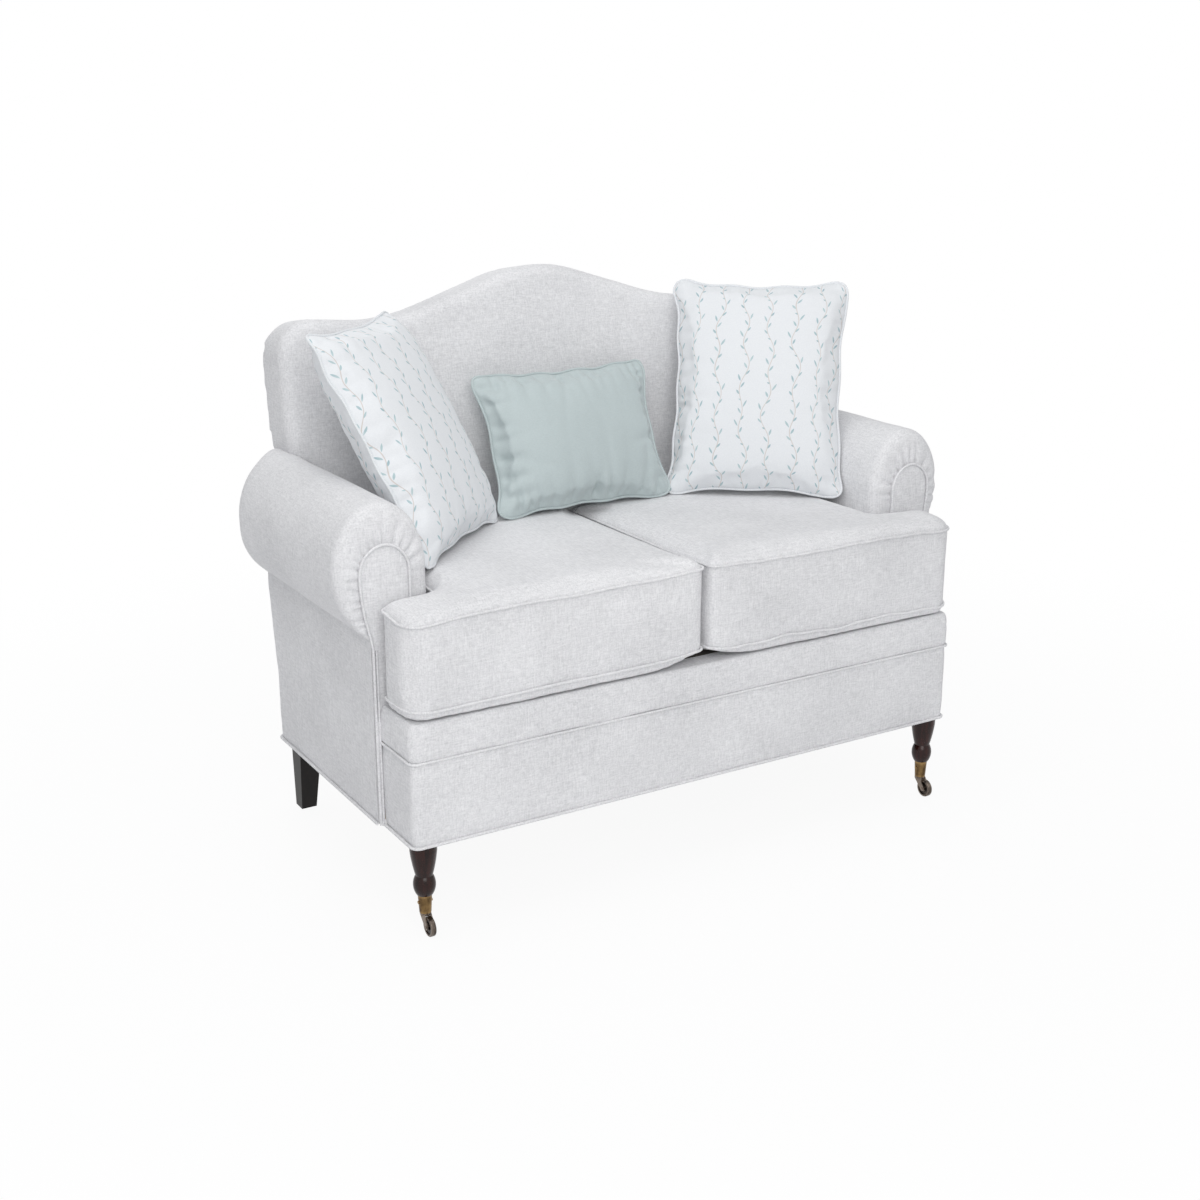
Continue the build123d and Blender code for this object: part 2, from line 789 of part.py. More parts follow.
for name, (plane, width, height, depth) in pillow_kinds.items():
    with BuildPart() as pillow:
        for side in (-1, 1):
            sections = []
            for rise, share in pillow_swell:
                level = plane.offset(side * depth / 2 * rise)
                sections.append(pillow_section(level, width, height, share))
            loft(sections=sections)
    pieces[name] = pillow

    with BuildPart() as pillow_welt:
        ring = pillow_section(plane, width, height, 1.0, welt_reach + welt_gap).wires()[0]
        tube_along(ring, welt)
    pieces[f"{name}_welt"] = pillow_welt

# Front legs: a flared head over a ball and a peg, in a brass cup with a swivelling caster
wheel_z = wheel / 2
plate_start = max(0.0, caster_trail - swivel_plate / 2)
plate_bottom = wheel_z + math.sqrt(wheel_z**2 - plate_start**2) + swivel_gap
cup_bottom = plate_bottom + plate_thickness + swivel_gap
cup_top = cup_bottom + cup_height
ball_bottom = cup_top + swivel_gap
ball_top = ball_bottom + ball_height
head_bottom = cup_bottom + cup_floor + running_gap
peg_end = head_bottom + stem_head_height + swivel_gap
screw_z = (peg_end + cup_top) / 2
screw_bore = cup_screw / 2 + running_gap


def round_profile(*points):
    """A half profile about the leg's axis, closed along the axis."""
    with BuildLine() as profile:
        Polyline(*points, close=True)
    make_face(profile.edges())


for side, hand in ((-1, "left"), (1, "right")):
    leg_x = side * front_leg_reach
    leg_axis = Axis((leg_x, front_leg_y, 0), (0, 0, 1))
    leg_plane = Plane(origin=(leg_x, front_leg_y, 0), x_dir=(1, 0, 0), z_dir=(0, -1, 0))
    wheel_y = front_leg_y - caster_trail
    roll_plane = Plane(origin=(leg_x, wheel_y, wheel_z), x_dir=(0, 1, 0), z_dir=(1, 0, 0))
    screw_places = [Location((leg_x, front_leg_y, screw_z), (0, 90, 0))]

    with BuildPart() as front_leg:
        with BuildSketch(leg_plane):
            with BuildLine():
                Polyline((0, peg_end), (peg_bottom / 2, peg_end), (peg_top / 2, ball_bottom))
                shoulder = (leg_shoulder / 2, ball_bottom)
                Line((peg_top / 2, ball_bottom), shoulder)
                ball_middle = (leg_ball / 2, (ball_bottom + ball_top) / 2)
                ThreePointArc(shoulder, ball_middle, (leg_neck / 2, ball_top))
                flare_top = base_bottom - leg_head_height
                flare_x = leg_neck / 2 + flare_share * (leg_head - leg_neck)
                flare_middle = (flare_x, (ball_top + flare_top) / 2 + flare_lift)
                ThreePointArc((leg_neck / 2, ball_top), flare_middle, (leg_head / 2, flare_top))
                Polyline(
                    (leg_head / 2, flare_top),
                    (leg_head / 2, base_bottom),
                    (leg_boss / 2, base_bottom),
                    (leg_boss / 2, rail_bottom),
                    (0, rail_bottom),
                    (0, peg_end),
                )
            make_face()
        revolve(axis=leg_axis)
        with Locations((leg_x, front_leg_y, rail_bottom)):
            bore_size = (bolt / 2 + bolt_gap, bolt_in_leg + bolt_gap)
            Cylinder(*bore_size, align=(Align.CENTER, Align.CENTER, Align.MAX), mode=Mode.SUBTRACT)
        with Locations(*screw_places):
            Cylinder(screw_bore, peg_top * 2, mode=Mode.SUBTRACT)
    pieces[f"{hand}_front_leg"] = front_leg

    with BuildPart() as caster_cup:
        with BuildSketch(leg_plane):
            hole = stem / 2 + running_gap
            floor = cup_bottom + cup_floor
            round_profile(
                (hole, cup_bottom),
                (peg_bottom / 2 + cup_wall, cup_bottom),
                (peg_top / 2 + cup_wall, cup_top),
                (peg_top / 2 + running_gap, cup_top),
                (peg_bottom / 2 + running_gap, peg_end),
                (peg_bottom / 2 + running_gap, floor),
                (hole, floor),
            )
        revolve(axis=leg_axis)
        with Locations(*screw_places):
            Cylinder(screw_bore, peg_top * 2, mode=Mode.SUBTRACT)
    pieces[f"{hand}_caster_cup"] = caster_cup

    with BuildPart() as caster_fork:
        with BuildSketch(leg_plane):
            plate_top = plate_bottom + plate_thickness
            round_profile(
                (0, plate_bottom),
                (swivel_plate / 2, plate_bottom),
                (swivel_plate / 2, plate_top),
                (stem / 2, plate_top),
                (stem / 2, head_bottom),
                (stem_head / 2, head_bottom),
                (stem_head / 2, head_bottom + stem_head_height),
                (0, head_bottom + stem_head_height),
            )
        revolve(axis=leg_axis)
        for cheek in (-1, 1):
            start = wheel_width / 2 + wheel_side_gap
            with BuildSketch(roll_plane.offset(cheek * start)):
                Circle(cheek_boss / 2)
                with Locations((caster_trail, plate_bottom - wheel_z)):
                    Rectangle(cheek_head, plate_thickness, align=(Align.CENTER, Align.MIN))
                make_hull()
                Circle(axle / 2 + running_gap, mode=Mode.SUBTRACT)
            extrude(amount=cheek * cheek_thickness)
    pieces[f"{hand}_caster_fork"] = caster_fork

    with BuildPart() as caster_axle:
        with BuildSketch(roll_plane):
            Circle(axle / 2)
        extrude(amount=wheel_width / 2 + wheel_side_gap + cheek_thickness + axle_overhang, both=True)
    pieces[f"{hand}_caster_axle"] = caster_axle

    with BuildPart() as caster_wheel:
        with BuildSketch(roll_plane):
            Circle(wheel / 2)
        extrude(amount=wheel_width / 2, both=True)
        fillet(caster_wheel.edges(), wheel_round)
        for face in (-1, 1):
            with BuildSketch(roll_plane.offset(face * wheel_width / 2)):
                Circle(wheel / 2 - wheel_rim)
                Circle(wheel_hub / 2, mode=Mode.SUBTRACT)
            extrude(amount=-face * wheel_recess, mode=Mode.SUBTRACT)
        with BuildSketch(roll_plane):
            Circle(axle / 2 + running_gap)
        extrude(amount=wheel_width, both=True, mode=Mode.SUBTRACT)
    pieces[f"{hand}_caster_wheel"] = caster_wheel

with BuildPart() as cup_screws:
    for side in (-1, 1):
        for way in (-1, 1):
            cup_reach = (peg_top + peg_bottom) / 4 + cup_wall
            head_plane = Plane(
                origin=(side * front_leg_reach + way * cup_reach, front_leg_y, screw_z), z_dir=(way, 0, 0)
            )
            with BuildSketch(head_plane.offset(swivel_gap)):
                Circle(cup_screw_head / 2)
            extrude(amount=cup_wall)
            with BuildSketch(head_plane.offset(swivel_gap)):
                Circle(cup_screw / 2)
            extrude(amount=-cup_screw_length)
pieces["cup_screws"] = cup_screws

# Rear legs: square, tapered and raked back
for side, hand in ((-1, "left"), (1, "right")):
    top_x = side * rear_leg_x
    with BuildPart() as rear_leg:
        with BuildSketch(Plane.XY.offset(base_bottom)):
            with Locations((top_x, rear_leg_y)):
                Rectangle(rear_leg_top, rear_leg_top)
        with BuildSketch():
            with Locations((top_x - side * rear_leg_splay, rear_leg_y + rear_leg_rake)):
                Rectangle(rear_leg_foot, rear_leg_foot)
        loft(ruled=True)
        with Locations((top_x, rear_leg_y, base_bottom)):
            Cylinder(leg_boss / 2, dust_cover_thickness, align=(Align.CENTER, Align.CENTER, Align.MIN))
        with Locations((top_x, rear_leg_y, rail_bottom)):
            bore_size = (bolt / 2 + bolt_gap, bolt_in_leg + bolt_gap)
            Cylinder(*bore_size, align=(Align.CENTER, Align.CENTER, Align.MAX), mode=Mode.SUBTRACT)
    pieces[f"{hand}_rear_leg"] = rear_leg

with BuildPart() as leg_bolts:
    with Locations(*[(x, y, rail_bottom - bolt_in_leg) for x, y in leg_places]):
        Cylinder(bolt / 2, bolt_in_leg + bolt_in_rail, align=(Align.CENTER, Align.CENTER, Align.MIN))
pieces["leg_bolts"] = leg_bolts

os.makedirs("parts", exist_ok=True)
for name, piece in pieces.items():
    piece.part.label = name
    export_step(piece.part, f"parts/{name}.step")
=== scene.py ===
import json
from math import acos, asin, atan2, cos, hypot, pi, radians, sin, sqrt, tan

import bmesh
import bpy
import numpy as np
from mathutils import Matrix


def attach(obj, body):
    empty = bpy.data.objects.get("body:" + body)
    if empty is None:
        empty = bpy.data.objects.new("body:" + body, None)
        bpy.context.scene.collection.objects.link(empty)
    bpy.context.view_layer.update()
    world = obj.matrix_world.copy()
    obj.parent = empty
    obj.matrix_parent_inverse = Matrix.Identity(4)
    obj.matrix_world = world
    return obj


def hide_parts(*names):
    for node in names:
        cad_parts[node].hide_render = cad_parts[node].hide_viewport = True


# A small two-seat settee in off-white linen, dressed over its frame. Lengths are in millimetres
# until a mesh is made.

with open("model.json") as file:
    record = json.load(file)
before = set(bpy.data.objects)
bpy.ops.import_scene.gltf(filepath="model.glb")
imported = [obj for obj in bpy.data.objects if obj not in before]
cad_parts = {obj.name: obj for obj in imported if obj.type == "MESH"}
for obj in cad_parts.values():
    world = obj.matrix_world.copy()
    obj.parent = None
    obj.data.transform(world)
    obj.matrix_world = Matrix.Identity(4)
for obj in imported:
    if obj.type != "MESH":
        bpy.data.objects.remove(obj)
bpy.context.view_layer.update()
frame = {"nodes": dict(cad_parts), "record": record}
nodes = frame["nodes"]
scene = bpy.context.scene
MM = 0.001

# Sizes of the frame that the covers follow
front_y = -337.0
rear_y = 237.0
front_half = 564.0
arm_out = 574.0
arm_in = 465.0
pad_inner = 487.0
rail_out = 556.0
base_bottom = 164.0
band_seam = 313.0
deck_top = 378.0
deck_rear = 198.0
arm_front = -215.0
facing_front = -223.0
roll_x, roll_z = 548.0, 600.0
roll_half, roll_rise = 83.0, 113.0
crease_z = 486.0
facing_half, facing_rise = 44.0, 47.5
cover = 8.0
welt = 5.2
front_corner = 14.0
low_seam, high_seam, seat_top = 399.0, 550.0, 572.0
cushion_bottom = 378.3
rail_top = 306.0
back_lean = radians(9.0)
back_foot_y = front_y + 575.5
back_front_y = 146.9


def rear_at(z):
    """Where the rear of the arms and the back lies: upright to the rail, then leaning."""
    return rear_y + np.maximum(0.0, z - rail_top) * tan(back_lean)


# Camera at the photograph's place
camera_data = bpy.data.cameras.new("camera")
camera_data.sensor_fit = "HORIZONTAL"
camera_data.sensor_width = 36.0
camera_data.lens = 49.77
camera = bpy.data.objects.new("camera", camera_data)
camera.location = (-1.5658, -2.5641, 1.3592)
camera.rotation_euler = (radians(72.3785), 0.0, radians(-31.2155))
scene.collection.objects.link(camera)
scene.camera = camera


# Mesh helpers


def place_object(name, data):
    obj = bpy.data.objects.new(name, data)
    scene.collection.objects.link(obj)
    return obj


def add_object(name, points, faces, sharp=None):
    """A smooth-shaded mesh object with its faces turned outwards."""
    mesh = bpy.data.meshes.new(name)
    mesh.from_pydata((np.asarray(points, float) * MM).tolist(), [], faces)
    form = bmesh.new()
    form.from_mesh(mesh)
    bmesh.ops.remove_doubles(form, verts=form.verts, dist=0.00001)
    bmesh.ops.recalc_face_normals(form, faces=form.faces)
    form.to_mesh(mesh)
    form.free()
    obj = place_object(name, mesh)
    smooth_shade(obj, sharp)
    return obj


def smooth_shade(obj, sharp=None):
    mesh = obj.data
    mesh.polygons.foreach_set("use_smooth", [True] * len(mesh.polygons))
    if sharp:
        mesh.set_sharp_from_angle(angle=radians(sharp))
    mesh.update()


def read_vertices(mesh, what):
    values = np.zeros(len(mesh.vertices) * 3)
    mesh.vertices.foreach_get(what, values)
    return values.reshape(-1, 3)


def get_points(obj):
    return read_vertices(obj.data, "co") / MM


def get_normals(obj):
    return read_vertices(obj.data, "normal")


def set_points(obj, points):
    obj.data.vertices.foreach_set("co", (points * MM).ravel())
    obj.data.update()


def apply_modifiers(obj):
    graph = bpy.context.evaluated_depsgraph_get()
    mesh = bpy.data.meshes.new_from_object(obj.evaluated_get(graph))
    obj.modifiers.clear()
    obj.data = mesh


def give_skin(obj, thick, axis, front, sharp):
    """Thicken a single cloth inwards, away from the side of an axis that shows."""
    skin = obj.modifiers.new("skin", "SOLIDIFY")
    skin.thickness = thick * MM
    skin.offset = -1.0 if get_normals(obj)[:, axis].mean() * front > 0 else 1.0
    apply_modifiers(obj)
    smooth_shade(obj, sharp)


def refine(obj):
    finer = obj.modifiers.new("finer", "SUBSURF")
    finer.levels = finer.render_levels = 1
    apply_modifiers(obj)


def quads(rows, columns, wrap=False, start=0):
    """Faces of a grid of points that is stored row by row."""
    last = columns if wrap else columns - 1
    faces = []
    for r in range(rows - 1):
        for c in range(last):
            d = (c + 1) % columns
            a = start + r * columns
            faces.append((a + c, a + d, a + columns + d, a + columns + c))
    return faces


def capped(rows, columns):
    """Faces of rings of points, with the first and the last ring filled."""
    count = rows * columns
    ends = [tuple(range(columns)), tuple(range(count - columns, count))]
    return quads(rows, columns, wrap=True) + ends


def unit_rows(vectors):
    return vectors / np.linalg.norm(vectors, axis=1)[:, None]


def smooth_step(x, low, high):
    t = np.clip((x - low) / (high - low), 0.0, 1.0)
    return t * t * (3 - 2 * t)


def hill(*ratios):
    """A bell that is 1 where every ratio is 0."""
    return np.exp(-sum(ratio**2 for ratio in ratios))


def ripple(points, scale, seed):
    """A gentle random relief from -1 to 1, about as wide as the scale."""
    random = np.random.default_rng(seed)
    total = np.zeros(len(points))
    waves, usual_peak = 7, 4.0
    for _ in range(waves):
        way = random.normal(size=3)
        way /= np.linalg.norm(way)
        pitch = 2 * pi / (scale * random.uniform(0.7, 1.8))
        total += np.sin(points @ way * pitch + random.uniform(0, 2 * pi))
    return total / usual_peak


def rounded_path(corners, radius, step, closed=False):
    """Points along straight runs whose corners are rounded."""
    corners = [np.asarray(c, float) for c in corners]
    count = len(corners)
    bends = []
    for i in range(count):
        if not closed and i in (0, count - 1):
            bends.append(np.array([corners[i]]))
            continue
        here = corners[i]
        back = corners[i - 1] - here
        ahead = corners[(i + 1) % count] - here
        back /= np.linalg.norm(back)
        ahead /= np.linalg.norm(ahead)
        half = acos(np.clip(back @ ahead, -1, 1)) / 2
        reach = radius / tan(half)
        middle = here + (back + ahead) / np.linalg.norm(back + ahead) * radius / sin(half)
        first = here + back * reach - middle
        last = here + ahead * reach - middle
        turn = pi - 2 * half
        steps = max(5, int(radius * turn / min(step, 4.0)))
        t = np.arange(steps + 1)[:, None] / steps
        arc = first * np.sin((1 - t) * turn) + last * np.sin(t * turn)
        bends.append(middle + arc / sin(turn))
    points = [bends[0]]
    for i in [*range(1, count), *([0] if closed else [])]:
        start, end = points[-1][-1], bends[i][0]
        parts = max(1, int(round(np.linalg.norm(end - start) / step)))
        points.append(start + (end - start) * np.arange(1, parts)[:, None] / parts)
        if i:
            points.append(bends[i])
    return np.concatenate(points)


def tube(name, path, radius, closed=False):
    """A round cord along a path of points."""
    sides = 10
    path = np.asarray(path, float)
    if closed:
        ahead = unit_rows(np.roll(path, -1, 0) - np.roll(path, 1, 0))
    else:
        ahead = unit_rows(np.gradient(path, axis=0))
    guide = np.array([0.0, 0.0, 1.0]) if abs(ahead[0][2]) < 0.9 else np.array([1.0, 0.0, 0.0])
    side = np.cross(ahead[0], guide)
    turns = np.linspace(0, 2 * pi, sides, endpoint=False)[:, None]
    rings = []
    for point, way in zip(path, ahead):
        side = side - way * (side @ way)
        side /= np.linalg.norm(side)
        rings.append(point + radius * (np.cos(turns) * side + np.sin(turns) * np.cross(way, side)))
    points = np.concatenate(rings)
    if not closed:
        return add_object(name, points, capped(len(path), sides), sharp=70)
    faces = quads(len(path), sides, wrap=True)
    last = (len(path) - 1) * sides
    # The closing ring is turned to the nearest match with the first one
    gaps = [np.linalg.norm(rings[0][0] - rings[-1][k]) for k in range(sides)]
    shift = int(np.argmin(gaps))
    for c in range(sides):
        a = last + (c + shift) % sides
        b = last + (c + 1 + shift) % sides
        faces.append((a, b, (c + 1) % sides, c))
    return add_object(name, points, faces)


def sweep_profile(name, path, profile, relief, seed):
    """A closed profile of (outward, height) points swept along a level path, rippled outside."""
    path = np.asarray(path, float)
    ahead = unit_rows(np.gradient(path, axis=0))
    out = np.stack([ahead[:, 1], -ahead[:, 0]], 1)
    profile = np.asarray(profile, float)
    columns = len(profile)
    points = np.zeros((len(path), columns, 3))
    points[:, :, :2] = path[:, None, :] + out[:, None, :] * profile[None, :, 0, None]
    points[:, :, 2] = profile[None, :, 1]
    flat = points.reshape(-1, 3)
    outer = np.tile(smooth_step(profile[:, 0], -5.0, -2.0), len(path))
    shift = relief * (ripple(flat, 150.0, seed) + 0.5 * ripple(flat, 45.0, seed + 1)) * outer
    flat[:, :2] += np.repeat(out, columns, 0) * shift[:, None]
    return add_object(name, flat, capped(len(path), columns), sharp=60)


def inflate(obj, pressure, frames, cap, bending, held=None):
    """Swell a closed cover with the cloth solver, and keep each point within a cap of where it was."""
    rest = get_points(obj)
    if held is not None:
        obj.vertex_groups.new(name="held").add([int(i) for i in held], 1.0, "REPLACE")
    cloth = obj.modifiers.new("cloth", "CLOTH")
    settings = cloth.settings
    settings.quality = 6
    settings.mass = 0.3
    settings.tension_stiffness = 15.0
    settings.compression_stiffness = 15.0
    settings.shear_stiffness = 5.0
    settings.bending_stiffness = bending
    settings.use_pressure = True
    settings.uniform_pressure_force = pressure
    settings.effector_weights.gravity = 0.0
    if held is not None:
        settings.vertex_group_mass = "held"
    cloth.collision_settings.use_collision = False
    cloth.point_cache.frame_start = 1
    cloth.point_cache.frame_end = frames
    for moment in range(1, frames + 1):
        scene.frame_set(moment)
    graph = bpy.context.evaluated_depsgraph_get()
    move = read_vertices(obj.evaluated_get(graph).to_mesh(), "co") / MM - rest
    obj.modifiers.clear()
    scene.frame_set(1)
    length = np.linalg.norm(move, axis=1)
    move *= np.minimum(1.0, cap / np.maximum(length, 1e-9))[:, None]
    set_points(obj, rest + move)


# Materials


def new_material(name):
    material = bpy.data.materials.new(name)
    material.use_nodes = True
    return material, material.node_tree, material.node_tree.nodes["Principled BSDF"]


def link_or_set(socket, value):
    if isinstance(value, bpy.types.NodeSocket):
        socket.id_data.links.new(value, socket)
    else:
        socket.default_value = value


def add_node(tree, kind, *inputs, **settings):
    """A shader node with its settings, and its first inputs linked or set in order."""
    node = tree.nodes.new("ShaderNode" + kind)
    for name, value in settings.items():
        setattr(node, name, value)
    for socket, value in zip(node.inputs, inputs):
        link_or_set(socket, value)
    return node


def feed(node, **inputs):
    """Link or set a node's inputs by name, with an underscore for each space."""
    for name, value in inputs.items():
        link_or_set(node.inputs[name.replace("_", " ")], value)
    return node


def calc(operation, a, b=0.0, c=0.0, clamp=False):
    tree = (a if isinstance(a, bpy.types.NodeSocket) else b).id_data
    return add_node(tree, "Math", a, b, c, operation=operation, use_clamp=clamp).outputs[0]


def object_coords(tree):
    return add_node(tree, "TexCoord").outputs["Object"]


def noise(coords, stretch, detail=2.0):
    scaled = add_node(coords.id_data, "VectorMath", coords, stretch, operation="MULTIPLY")
    texture = add_node(coords.id_data, "TexNoise", scaled.outputs[0])
    return feed(texture, Scale=1.0, Detail=detail).outputs[0]


def ramp(value, *stops):
    node = add_node(value.id_data, "ValToRGB", value)
    for element, (place, colour) in zip(node.color_ramp.elements, stops):
        element.position = place
        element.color = (*colour, 1.0)
    return node.outputs[0]


def named_ramp(value, low, high, name):
    dark, light = dark_and_light[name]
    return ramp(value, (low, dark), (high, light))


def mix_colour(share, a, b):
    node = add_node(share.id_data, "Mix", share, data_type="RGBA")
    for socket, value in ((node.inputs[6], a), (node.inputs[7], b)):
        link_or_set(socket, value if isinstance(value, bpy.types.NodeSocket) else (*value, 1.0))
    return node.outputs[2]


def bump(shader, height, strength, distance):
    node = add_node(height.id_data, "Bump")
    feed(node, Strength=strength, Distance=distance, Height=height)
    feed(shader, Normal=node.outputs[0])


def cross_weave(tree, fine, along):
    """Slubby threads along all three directions, so that each face shows a cross weave."""
    coords = object_coords(tree)
    total = None
    for axis in range(3):
        stretch = [fine] * 3
        stretch[axis] = along
        threads = noise(coords, stretch, 1.5)
        total = threads if total is None else calc("ADD", total, threads)
    return calc("DIVIDE", total, 3.0)


def cloth_material(name, fine, along, rough=0.95, sheen=0.1, strength=0.35, depth=0.0008):
    material, tree, shader = new_material(name)
    weave = cross_weave(tree, fine, along)
    cloud = noise(object_coords(tree), (7.0, 7.0, 7.0))
    blend = calc("ADD", calc("MULTIPLY", weave, 0.8), calc("MULTIPLY", cloud, 0.2))
    feed(shader, Base_Color=named_ramp(blend, 0.32, 0.66, name), Roughness=rough)
    feed(shader, Sheen_Weight=sheen, Sheen_Roughness=0.5, Specular_IOR_Level=0.25)
    bump(shader, weave, strength, depth)
    return material


def wood_material(name, rough, gloss, stretch):
    material, tree, shader = new_material(name)
    grain = noise(object_coords(tree), stretch, 5.0)
    colour = named_ramp(grain, 0.3, 0.7, name)
    feed(shader, Base_Color=colour, Roughness=rough, Specular_IOR_Level=gloss)
    bump(shader, grain, 0.08, 0.0004)
    return material


def metal_material(name, smoothest, roughest):
    material, tree, shader = new_material(name)
    stain = noise(object_coords(tree), (110.0, 110.0, 60.0))
    edge = add_node(tree, "NewGeometry").outputs["Pointiness"]
    worn = calc("MULTIPLY_ADD", calc("SUBTRACT", edge, 0.5), 3.0, stain, clamp=True)
    rough = calc("MULTIPLY_ADD", stain, roughest - smoothest, smoothest)
    feed(shader, Base_Color=named_ramp(worn, 0.3, 0.75, name), Roughness=rough, Metallic=1.0)
    bump(shader, stain, 0.1, 0.0002)
    return material


def vine_print(name):
    """White cloth with wavy upright vines of small alternate leaves, sized in metres."""
    material, tree, shader = new_material(name)
    place = add_node(tree, "UVMap", uv_map="cloth").outputs[0]
    split = add_node(tree, "SeparateXYZ", place)
    column_width, repeat, half_drop = 0.046, 0.084, 0.37
    sway, drift_reach, stem_edge = 0.0055, 0.03, 0.0005
    leaf_count, leaf_breadth, leaf_stalk = 7, 0.0020, 0.0022

    def centred(value, scale):
        return calc("MULTIPLY", calc("SUBTRACT", value, 0.5), scale)

    drift = centred(noise(place, (9.0, 9.0, 9.0), 0.0), drift_reach)
    across = calc("DIVIDE", calc("ADD", split.outputs[0], drift), column_width)
    odd = calc("FLOORED_MODULO", calc("FLOOR", across), 2.0)
    drop = calc("MULTIPLY_ADD", odd, half_drop, calc("DIVIDE", split.outputs[1], repeat))
    x = centred(calc("FRACT", across), column_width)
    y = centred(calc("FRACT", drop), repeat)
    bend = calc("MULTIPLY", calc("SINE", calc("MULTIPLY", y, 2 * pi / repeat)), sway)
    off = calc("ABSOLUTE", calc("SUBTRACT", x, bend))
    stem = calc("SUBTRACT", 1.9, calc("DIVIDE", off, stem_edge), clamp=True)
    leaves = None
    for k in range(leaf_count):
        side = 1 if k % 2 else -1
        foot = (k - (leaf_count - 1) / 2) * repeat / leaf_count
        root = sway * sin(2 * pi * foot / repeat)
        tilt = radians(52 + 7 * (k % 3))
        ways = (side * cos(tilt), sin(tilt))
        length = 0.0060 + 0.0009 * (k % 3)
        dx = calc("SUBTRACT", x, root + ways[0] * (length + leaf_stalk))
        dy = calc("SUBTRACT", y, foot + ways[1] * (length + leaf_stalk))
        along = calc("MULTIPLY_ADD", dx, ways[0] / length, calc("MULTIPLY", dy, ways[1] / length))
        cross = calc("MULTIPLY", dy, ways[0] / leaf_breadth)
        cross = calc("MULTIPLY_ADD", dx, -ways[1] / leaf_breadth, cross)
        spread = calc("ADD", calc("POWER", along, 2.0), calc("ABSOLUTE", cross))
        mask = calc("MULTIPLY", calc("SUBTRACT", 1.0, spread), 3.0, clamp=True)
        leaves = mask if leaves is None else calc("MAXIMUM", leaves, mask)
    weave = cross_weave(tree, 900.0, 160.0)
    ground = ramp(weave, (0.3, (0.745, 0.765, 0.79)), (0.66, (0.825, 0.84, 0.86)))
    patchy = noise(object_coords(tree), (60.0, 60.0, 60.0))
    leaf_colour = ramp(patchy, (0.35, (0.27, 0.42, 0.47)), (0.65, (0.45, 0.58, 0.60)))
    with_stem = mix_colour(calc("MULTIPLY", stem, 0.75), ground, (0.60, 0.53, 0.49))
    printed = mix_colour(calc("MULTIPLY", leaves, 0.85), with_stem, leaf_colour)
    feed(shader, Base_Color=printed, Roughness=0.82, Sheen_Weight=0.1, Specular_IOR_Level=0.25)
    bump(shader, weave, 0.2, 0.0005)
    return material


dark_and_light = {
    "linen": ((0.585, 0.585, 0.60), (0.885, 0.883, 0.897)),
    "sage_satin": ((0.44, 0.505, 0.51), (0.53, 0.60, 0.605)),
    "lining": ((0.03, 0.022, 0.018), (0.075, 0.055, 0.045)),
    "dust_cloth": ((0.012, 0.012, 0.012), (0.035, 0.035, 0.035)),
    "padding": ((0.72, 0.70, 0.62), (0.86, 0.84, 0.76)),
    "jute": ((0.34, 0.26, 0.16), (0.55, 0.44, 0.29)),
    "frame_wood": ((0.45, 0.31, 0.18), (0.66, 0.5, 0.32)),
    "front_leg_wood": ((0.008, 0.0025, 0.002), (0.034, 0.008, 0.006)),
    "rear_leg_wood": ((0.003, 0.0022, 0.002), (0.010, 0.007, 0.006)),
    "brass": ((0.075, 0.045, 0.021), (0.31, 0.20, 0.088)),
    "bronze": ((0.025, 0.02, 0.018), (0.22, 0.18, 0.15)),
    "wire": ((0.10, 0.10, 0.11), (0.30, 0.31, 0.33)),
    "zinc": ((0.35, 0.36, 0.38), (0.62, 0.63, 0.65)),
}
slot_materials = {
    "frame_wood": wood_material("frame_wood", rough=0.65, gloss=0.3, stretch=(9.0, 70.0, 70.0)),
    "upholstery": cloth_material("linen", fine=420.0, along=70.0, rough=0.92, strength=0.55, depth=0.001),
    "deck_cloth": cloth_material("lining", fine=500.0, along=120.0),
    "padding": cloth_material("padding", fine=300.0, along=200.0),
    "webbing": cloth_material("jute", fine=500.0, along=80.0),
    "dust_cloth": cloth_material("dust_cloth", fine=500.0, along=120.0),
    "spring_steel": metal_material("wire", 0.3, 0.5),
    "bolt_steel": metal_material("zinc", 0.25, 0.45),
    "front_leg_wood": wood_material("front_leg_wood", rough=0.22, gloss=0.3, stretch=(150.0, 150.0, 16.0)),
    "rear_leg_wood": wood_material("rear_leg_wood", rough=0.4, gloss=0.15, stretch=(120.0, 120.0, 14.0)),
    "cup_brass": metal_material("brass", 0.3, 0.5),
    "caster_bronze": metal_material("bronze", 0.25, 0.45),
    "print_cloth": vine_print("printed_cloth"),
    "sage_cloth": cloth_material(
        "sage_satin", fine=1100.0, along=120.0, rough=0.5, sheen=0.3, strength=0.15, depth=0.0004
    ),
}
for subpart in frame["record"]["subparts"]:
    node = nodes[subpart["node"]]
    node.data.materials.clear()
    node.data.materials.append(slot_materials[subpart["material_slot"]])


def dress(obj, slot, body, *replaced, fill=None):
    """Give a piece its material and the body it rides on, and hide the nodes it stands for."""
    obj.data.materials.clear()
    obj.data.materials.append(slot_materials[slot])
    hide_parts(*replaced)
    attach(obj, body)


def upholster(obj, *replaced, fill=None):
    dress(obj, "upholstery", "settee_frame", *replaced, fill=fill)


# Front panel and band, turned round the front corners
panel_foot = base_bottom + 1.0
panel_skin = 5.0
seam_dip = -1.5
cloth_inner = -7.5


def round_two_corners(half, end_y, turn_y, step):
    """A level path from one side round two corners to the other side."""
    corners = [(-half, end_y), (-half, turn_y), (half, turn_y), (half, end_y)]
    return rounded_path(corners, front_corner, step)


